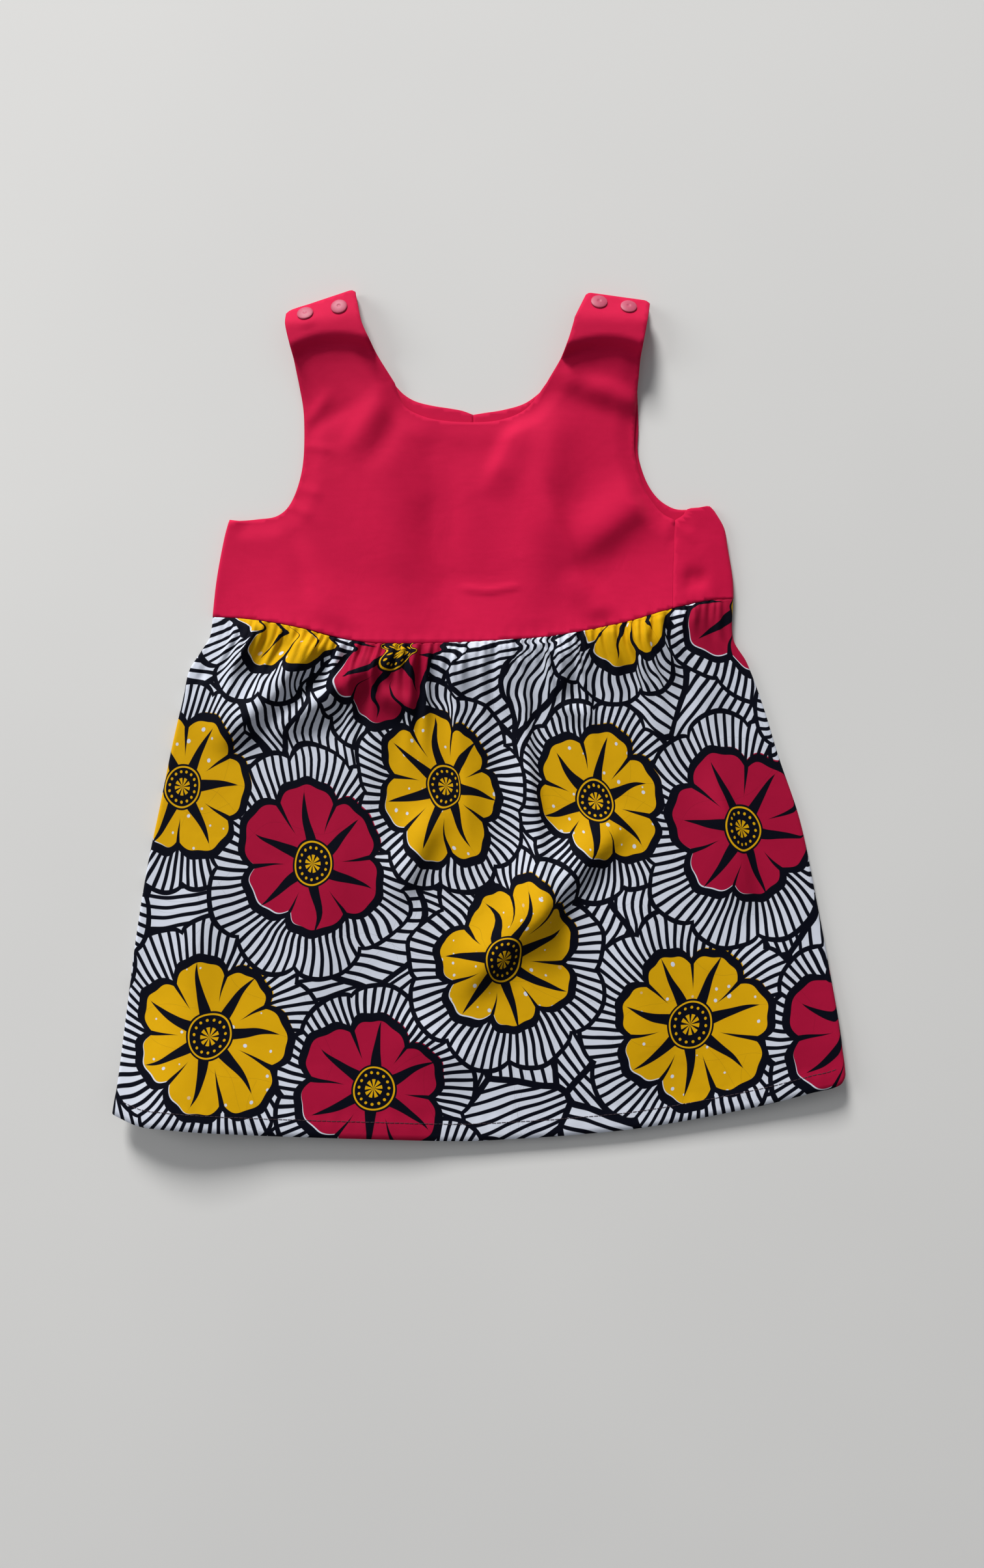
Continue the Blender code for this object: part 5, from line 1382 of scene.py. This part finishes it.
class Amount:
    """A number that changes over the cloth, worked out by the nodes of one tree."""

    def __init__(self, tree, socket):
        self.tree = tree
        self.socket = socket

    def of(self, operation, *others, clamp=False):
        """The result of a sum with other amounts or plain numbers."""
        node = self.tree.nodes.new("ShaderNodeMath")
        node.operation = operation
        node.use_clamp = clamp
        for slot, other in enumerate((self,) + others):
            if isinstance(other, Amount):
                self.tree.links.new(other.socket, node.inputs[slot])
            else:
                node.inputs[slot].default_value = other
        return Amount(self.tree, node.outputs[0])

    def __add__(self, other):
        return self.of("ADD", other)

    def __sub__(self, other):
        return self.of("SUBTRACT", other)

    def __mul__(self, other):
        return self.of("MULTIPLY", other)

    def __truediv__(self, other):
        return self.of("DIVIDE", other)

    def size(self):
        """This amount without its sign."""
        return self.of("ABSOLUTE")

    def over(self, other):
        """The larger of this amount and another."""
        return self.of("MAXIMUM", other)

    def less_from(self, number):
        """A plain number less this amount."""
        return self.of("MULTIPLY", -1.0).of("ADD", number)

    def left_over(self):
        """One less this amount, and never below nought."""
        return self.less_from(1.0).over(0.0)

    def within(self, limit, blur=EDGE_BLUR):
        """One where this amount is under the limit and nought over it, with a thin soft edge."""
        return self.less_from(0.0).of("ADD", limit).of("DIVIDE", 2 * blur).of("ADD", 0.5, clamp=True)

    def sliced(self, count, shift=None):
        """Place of an angle across its slice of the turn, from -0.5 to 0.5."""
        slices = self * (count / FULL_TURN)
        if shift:
            slices = slices + shift
        return slices.of("FRACT") - 0.5


def distance_to(x, y):
    """Distance from the middle of a place's two amounts."""
    return (x * x + y * y).of("SQRT")


def ray_lines(angle, away, count):
    """Lines of one width that run out from a middle, spread over the whole turn."""
    return (angle.sliced(count).size() * away * (FULL_TURN / count)).within(RAY_HALF_WIDTH, RAY_BLUR)


def joined_group(name, inputs, outputs):
    """A shader node group with named inputs and outputs, and its two end nodes."""
    group = bpy.data.node_groups.new(name, "ShaderNodeTree")
    for kind, label, value in inputs:
        socket = group.interface.new_socket(name=label, in_out="INPUT", socket_type="NodeSocket" + kind)
        if value is not None:
            socket.default_value = value
    for kind, label in outputs:
        group.interface.new_socket(name=label, in_out="OUTPUT", socket_type="NodeSocket" + kind)
    return group, group.nodes.new("NodeGroupInput"), group.nodes.new("NodeGroupOutput")


def vector_sum(tree, operation, *sources):
    """The result of a sum with vectors, each a socket or three plain numbers."""
    node = tree.nodes.new("ShaderNodeVectorMath")
    node.operation = operation
    for slot, source in enumerate(sources):
        if isinstance(source, tuple):
            node.inputs[slot].default_value = source
        else:
            tree.links.new(source, node.inputs[slot])
    return node.outputs[0]


def first_two(tree, vector):
    """The first two numbers of a place or a colour, as amounts."""
    parts = tree.nodes.new("ShaderNodeSeparateXYZ")
    tree.links.new(vector, parts.inputs[0])
    return Amount(tree, parts.outputs["X"]), Amount(tree, parts.outputs["Y"])


def noise(tree, place, **values):
    """A noise texture's node at a place, with some of its inputs set."""
    node = tree.nodes.new("ShaderNodeTexNoise")
    tree.links.new(place, node.inputs["Vector"])
    for label, value in values.items():
        node.inputs[label].default_value = value
    return node


def cells_of(tree, place, size, randomness=1.0, feature="F1"):
    """A flat cell texture's node at a place, with cells of a size."""
    node = tree.nodes.new("ShaderNodeTexVoronoi")
    node.voronoi_dimensions = "2D"
    node.feature = feature
    node.inputs["Scale"].default_value = 1.0 / size
    node.inputs["Randomness"].default_value = randomness
    tree.links.new(place, node.inputs["Vector"])
    return node


# Wax print

def petal_edge(part, turned, turn, radius):
    """Distance of the petals' edge from the middle of a blossom."""
    swell = ((turned + turn).of("SINE") * PETAL_SWELL
             + (turned * 2.0 + turn * 5.0).of("SINE") * PETAL_SECOND_SWELL + 1.0)
    lobe = (part * part * PETAL_ROUND).left_over().of("SQRT")
    ripple = (part * (3 * FULL_TURN)).of("COSINE") * PETAL_RIPPLE
    return radius * swell * (lobe * PETAL_LOBE + ripple + (1.0 - PETAL_LOBE))


def heart_marks(away, turned, heart_edge):
    """The ring, dots and star of gold on a blossom's dark heart."""
    ring = (away - heart_edge + RING_INSET).size().within(RING_HALF_WIDTH)
    dot_across = turned.sliced(DOTS) * away * (FULL_TURN / DOTS)
    dots = distance_to(dot_across, away - heart_edge * DOT_RING).within(DOT_RADIUS)
    star = (away - heart_edge * STAR_REACH).within(0.0)
    star = star * turned.sliced(STAR_POINTS).size().within(STAR_SHARE, STAR_BLUR)
    return ring.over(dots).over(star)


def halo_masks(away, turned, turn, radius, width):
    """The scalloped halo round a blossom, and its navy rays and edge."""
    part = turned.sliced(HALO_LOBES, turn)
    lobe = (part * part * HALO_ROUND).left_over().of("SQRT")
    beyond = away - radius - width * (lobe * 0.5 + 0.5)
    rays = ray_lines(turned + away / radius * HALO_SWEEP, away, HALO_RAYS)
    return beyond.within(0.0), rays.over((beyond + HALO_LINE_INSET).size().within(HALO_LINE))


def blossom_group():
    """Masks of one rounded blossom of the print, which repeats over the cloth."""
    group, given, result = joined_group(
        "blossom",
        [("Vector", "Place", None), ("Vector", "Middle", None), ("Float", "Radius", 50.0),
         ("Float", "Turn", 0.0), ("Float", "Petals", 6.0), ("Float", "Halo", 26.0)],
        [("Float", label) for label in ("Body", "Fill", "Line", "Mark", "Shade", "Halo", "Rays")])
    place = vector_sum(group, "SUBTRACT", given.outputs["Place"], given.outputs["Middle"])
    corner = (REPEAT[0] / 2, REPEAT[1] / 2, 1.0)
    x, y = first_two(group, vector_sum(group, "WRAP", place, corner, tuple(-side for side in corner)))
    radius, turn, petals, halo_width = (Amount(group, given.outputs[label])
                                        for label in ("Radius", "Turn", "Petals", "Halo"))
    away = distance_to(x, y)
    angle = y.of("ARCTAN2", x)
    turned = angle + turn
    reach = away / radius
    part = turned.sliced(petals)
    beyond = away - petal_edge(part, turned, turn, radius)
    body = beyond.within(0.0)
    fill = (beyond - (angle - OFF_REGISTER_TURN).of("COSINE") * OFF_REGISTER).within(0.0)

    arc = away / (petals / FULL_TURN)
    bent = (part + (reach * VEIN_WAVE + turn * 7.0).of("SINE") * VEIN_BEND).size()
    vein_width = (reach / VEIN_REACH).left_over().of("POWER", VEIN_TAPER) * VEIN_WIDTH
    vein = (bent * arc - vein_width).within(0.0)
    cleft = (part.size().less_from(0.5) * arc - (reach - CLEFT_START) * CLEFT_WIDTH).within(0.0)
    heart_edge = radius * HEART
    heart = (away - heart_edge).within(0.0)
    line = beyond.size().within(PETAL_LINE).over(vein).over(cleft * body).over(heart)
    mark = heart_marks(away, turned, heart_edge) * heart
    shade = ((reach - SHADE_START) / SHADE_REACH).left_over() * (bent * SHADE_NARROWING).left_over()
    halo, rays = halo_masks(away, turned, turn, radius, halo_width)
    for label, amount in (("Body", body), ("Fill", fill), ("Line", line), ("Mark", mark),
                          ("Shade", shade), ("Halo", halo), ("Rays", rays)):
        group.links.new(amount.socket, result.inputs[label])
    return group


def mixed(tree, factor, below, above):
    """A colour mixed over another by a factor; each is a socket or a plain colour."""
    node = tree.nodes.new("ShaderNodeMix")
    node.data_type = "RGBA"
    tree.links.new(factor.socket, node.inputs["Factor"])
    for slot, colour in ((6, below), (7, above)):
        if isinstance(colour, tuple):
            node.inputs[slot].default_value = (*colour, 1.0)
        else:
            tree.links.new(colour, node.inputs[slot])
    return node.outputs[2]


def fans(group, place):
    """Navy lines that fill the ground: a fan in each cell, and the borders between the cells."""
    cells = cells_of(group, place, CELL, CELL_RANDOMNESS)
    borders = cells_of(group, place, CELL, CELL_RANDOMNESS, "DISTANCE_TO_EDGE")
    x, y = first_two(group, vector_sum(group, "SUBTRACT", place, cells.outputs["Position"]))
    lean = first_two(group, cells.outputs["Color"])[0] * FULL_TURN
    x = x + lean.of("COSINE") * FAN_REACH
    y = y + lean.of("SINE") * FAN_REACH
    border = (Amount(group, borders.outputs["Distance"]) * CELL).within(CELL_LINE)
    return ray_lines(y.of("ARCTAN2", x), distance_to(x, y), FAN_RAYS).over(border)


def specks(group, place):
    """A few small specks, of uneven size."""
    cells = cells_of(group, place, SPECK_CELL)
    chance, size = first_two(group, cells.outputs["Color"])
    away = Amount(group, cells.outputs["Distance"]) * SPECK_CELL
    return (away - (size + SPECK_LEAST)).within(0.0) * chance.within(SPECK_SHARE, SPECK_BLUR)


def print_group():
    """The wax print: gold and crimson blossoms on white that is filled with fans of navy lines."""
    group, given, result = joined_group("wax_print", [("Vector", "Place", None)], [("Color", "Colour")])
    place = vector_sum(group, "MULTIPLY", given.outputs["Place"], (1 / MM, 1 / MM, 1 / MM))
    wander = noise(group, place, Scale=WANDER_SCALE, Detail=1.0)
    place = vector_sum(group, "MULTIPLY_ADD", wander.outputs["Color"], (WANDER, WANDER, 0.0), place)
    ink = fans(group, place)
    blossom = blossom_group()
    flowers = []
    for row in BLOSSOMS:
        node = placed_group(group, blossom, place, Middle=(row.x, row.y, 0.0), Radius=row.radius,
                            Turn=row.turn, Petals=row.petals, Halo=row.halo)
        masks = {label: Amount(group, node.outputs[label]) for label in node.outputs.keys()}
        ink = ink + (masks["Rays"] - ink) * masks["Halo"]
        flowers.append((row.ink, masks))
    speck = specks(group, place)
    colour = PRINT_WHITE
    for dye, masks in flowers:
        plain, deep = (GOLD, OCHRE) if dye == "gold" else (PRINT_CRIMSON, DARK_CRIMSON)
        petal = mixed(group, masks["Shade"] * SHADE_STRENGTH, plain, deep)
        if dye == "gold":
            petal = mixed(group, speck, petal, PRINT_WHITE)
        colour = mixed(group, masks["Body"], colour, PRINT_WHITE)
        colour = mixed(group, masks["Fill"], colour, petal)
        ink = (ink * masks["Body"].less_from(1.0)).over(masks["Line"])
    colour = mixed(group, ink, colour, NAVY)
    for dye, masks in flowers:
        colour = mixed(group, masks["Mark"], colour, GOLD)
    group.links.new(colour, result.inputs["Colour"])
    return group


# Weave, finishes and materials

def weave_group():
    """Height of a plain weave, from threads that pass over and under each other, and its tone: random slubs,
    with painted shade that darkens the hollows between the threads.
    """
    group, given, result = joined_group(
        "plain_weave", [("Vector", "Place", None), ("Float", "Pitch", 0.0005)],
        [("Float", "Height"), ("Float", "Slubs and shade")])
    pitch = Amount(group, given.outputs["Pitch"])
    x, y = (place / pitch for place in first_two(group, given.outputs["Place"]))
    warp, weft = ((place * math.pi).of("SINE").size() for place in (x, y))
    over = ((x.of("FLOOR") + y.of("FLOOR")) * 0.5).of("FRACT") * 2.0
    height = warp * over + weft * over.less_from(1.0)
    stretched = vector_sum(group, "MULTIPLY", given.outputs["Place"], SLUB_STRETCH)
    slub = noise(group, stretched, Scale=SLUB_SCALE, Detail=3.0)
    # Painted shade: the colour is lighter on the crowns of the threads and darker in the hollows between
    # them, added to the slubs' random tone
    tone_and_shade = Amount(group, slub.outputs["Fac"]) + height * WEAVE_HOLLOW_SHADE
    group.links.new(height.socket, result.inputs["Height"])
    group.links.new(tone_and_shade.socket, result.inputs["Slubs and shade"])
    return group


def rumple_group():
    """Height of the fine crumples that pressed cotton keeps."""
    group, given, result = joined_group(
        "rumple", [("Vector", "Place", None), ("Float", "Size", 30.0)], [("Float", "Height")])
    broad = noise(group, given.outputs["Place"], Detail=4.0, Roughness=0.45, Distortion=0.6)
    group.links.new(given.outputs["Size"], broad.inputs["Scale"])
    group.links.new(broad.outputs["Fac"], result.inputs["Height"])
    return group


def placed_group(tree, group, place, **values):
    """A group's node in a tree, with its place linked and its plain values set."""
    node = tree.nodes.new("ShaderNodeGroup")
    node.node_tree = group
    tree.links.new(place, node.inputs["Place"])
    for label, value in values.items():
        node.inputs[label].default_value = value
    return node


def bumped(tree, height, distance, strength, below=None):
    """Normal raised by a height, on top of another normal."""
    node = tree.nodes.new("ShaderNodeBump")
    node.inputs["Distance"].default_value = distance
    node.inputs["Strength"].default_value = strength
    tree.links.new(height, node.inputs["Height"])
    if below:
        tree.links.new(below, node.inputs["Normal"])
    return node.outputs[0]


def new_material(name, finish):
    """A material with nodes, its tree, and its shader with the plain values of a finish."""
    material = bpy.data.materials.new(name)
    material.use_nodes = True
    shader = material.node_tree.nodes["Principled BSDF"]
    for label, value in finish.items():
        shader.inputs[label].default_value = value
    return material, material.node_tree, shader


def woven(tree, shader, weave, rumple, cotton):
    """Gives a cotton its threads and crumples; its place on the flat cloth and its threads come back."""
    source = tree.nodes.new("ShaderNodeUVMap")
    source.uv_map = "cloth"
    place = source.outputs[0]
    threads = placed_group(tree, weave, place, Pitch=cotton.pitch)
    crumples = placed_group(tree, rumple, place, Size=cotton.crumples)
    normal = bumped(tree, crumples.outputs["Height"], cotton.crumple_rise, cotton.crumple_strength)
    normal = bumped(tree, threads.outputs["Height"], cotton.thread_rise, cotton.thread_strength, normal)
    tree.links.new(normal, shader.inputs["Normal"])
    return place, threads


def crimson_cotton(weave, rumple):
    """Plain crimson cotton with a fine weave and soft crumples."""
    material, tree, shader = new_material("crimson_cotton", CRIMSON_FINISH)
    place, threads = woven(tree, shader, weave, rumple, CRIMSON_WEAVE)
    patches = placed_group(tree, rumple, place, Size=CRIMSON_PATCHES)
    # Random patches, and the weave's tone with its painted shade between the threads
    tone_and_shade = Amount(tree, threads.outputs["Slubs and shade"]) * 0.5 + Amount(tree, patches.outputs["Height"]) * 0.5
    tree.links.new(mixed(tree, tone_and_shade, CRIMSON_LOW, CRIMSON_HIGH), shader.inputs["Base Color"])
    return material


def wax_print_cotton(weave, rumple):
    """White cotton with the wax print."""
    material, tree, shader = new_material("wax_print_cotton", PRINT_FINISH)
    place = woven(tree, shader, weave, rumple, PRINT_WEAVE)[0]
    pattern = placed_group(tree, print_group(), place)
    tree.links.new(pattern.outputs["Colour"], shader.inputs["Base Color"])
    return material


def clouded(tree, shader, low, high, **values):
    """Colours a shader by soft clouds in the object's own space."""
    coordinates = tree.nodes.new("ShaderNodeTexCoord")
    clouds = noise(tree, coordinates.outputs["Object"], **values)
    colour = mixed(tree, Amount(tree, clouds.outputs["Fac"]), low, high)
    tree.links.new(colour, shader.inputs["Base Color"])


def snap_plastic():
    """Half clear pink moulded plastic."""
    material, tree, shader = new_material("snap_plastic", PLASTIC_FINISH)
    clouded(tree, shader, SNAP_PINK, SNAP_PALE, Scale=PLASTIC_CLOUDS)
    return material


def sewing_thread(weave):
    """Dark twisted thread."""
    material, tree, shader = new_material("sewing_thread", THREAD_FINISH)
    coordinates = tree.nodes.new("ShaderNodeTexCoord")
    strands = placed_group(tree, weave, coordinates.outputs["Object"], Pitch=TWIST_PITCH)
    # Painted shade darkens the grooves of the twist, among random slubs
    colour = mixed(tree, Amount(tree, strands.outputs["Slubs and shade"]), THREAD_LOW, THREAD_HIGH)
    tree.links.new(colour, shader.inputs["Base Color"])
    tree.links.new(bumped(tree, strands.outputs["Height"], TWIST_RISE, 0.5), shader.inputs["Normal"])
    return material


def floor_material():
    """Matt white surface."""
    material, tree, shader = new_material("floor_white", FLOOR_FINISH)
    clouded(tree, shader, FLOOR_LOW, FLOOR_HIGH, Scale=FLOOR_CLOUDS, Detail=3.0)
    return material


# Floor, light, camera and the whole dress

def make_floor():
    """The plain floor under the dress."""
    mesh = bpy.data.meshes.new("floor")
    corners = [(x * FLOOR_REACH, y * FLOOR_REACH, 0.0) for x, y in ((-1, -1), (1, -1), (1, 1), (-1, 1))]
    mesh.from_pydata(corners, [], [(0, 1, 2, 3)])
    mesh.materials.append(floor_material())
    floor = new_object("floor", mesh)
    floor.location.z = -FLOOR_DROP


def light_and_camera():
    """A large soft light from beyond the neck, a weak one from the left, and the camera straight above."""
    world = bpy.data.worlds.new("room")
    world.use_nodes = True
    background = world.node_tree.nodes["Background"]
    background.inputs["Color"].default_value = ROOM_COLOUR
    background.inputs["Strength"].default_value = ROOM_STRENGTH
    bpy.context.scene.world = world
    for lamp in LAMPS:
        light = bpy.data.lights.new(lamp.name, "AREA")
        light.size = lamp.size
        light.energy = lamp.power
        light.color = lamp.colour
        item = new_object(lamp.name, light)
        item.location = lamp.place
        item.rotation_euler = (-Vector(lamp.place)).to_track_quat("-Z", "Y").to_euler()
    camera = bpy.data.cameras.new("camera")
    camera.sensor_fit = "VERTICAL"
    camera.sensor_height = CAMERA_SENSOR
    camera.lens = CAMERA_LENS
    item = new_object("camera", camera)
    item.location = CAMERA_PLACE
    bpy.context.scene.camera = item
    bpy.context.scene.view_settings.view_transform = "Standard"


def dress_bodice(crimson):
    """The three pieces of the bodice, each in the place of its solid."""
    front = make_bodice_front(crimson)
    back_left = make_bodice_back_left(crimson)
    back_right = make_bodice_back_right(crimson)
    for piece, node, rests_on in ((back_left, "bodice_back_left", ()), (back_right, "bodice_back_right", ()),
                                  (front, "bodice_front", (back_left, back_right))):
        dressed(piece, node)


def dress_skirt(printed, thread_material):
    """Both layers of the skirt, in the places of their solids, and the hem's thread."""
    front = make_skirt("skirt_front_cloth", FRONT_ROLL, skirt_front_level, 0.0, 0.0, printed)
    back = make_skirt("skirt_back_cloth", -SKIRT_BACK_ROLL, skirt_back_level, BACK_HEM_RISE, BACK_HEM_INSET,
                      printed)
    thread = stitch_row("hem_stitches", thread_material, hem_places())
    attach(thread, "root")
    dressed(back, "skirt_back")
    dressed(front, "skirt_front")


def main():
    """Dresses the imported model."""
    bpy.ops.object.select_all(action="DESELECT")
    weave, rumple = weave_group(), rumple_group()
    dress_bodice(crimson_cotton(weave, rumple))
    dress_skirt(wax_print_cotton(weave, rumple), sewing_thread(weave))
    plastic = snap_plastic()
    make_caps(plastic)
    for name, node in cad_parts.items():
        if name.endswith(("_socket", "_stud", "_back_cap")):
            node.data.materials.clear()
            node.data.materials.append(plastic)
    make_floor()
    light_and_camera()


main()
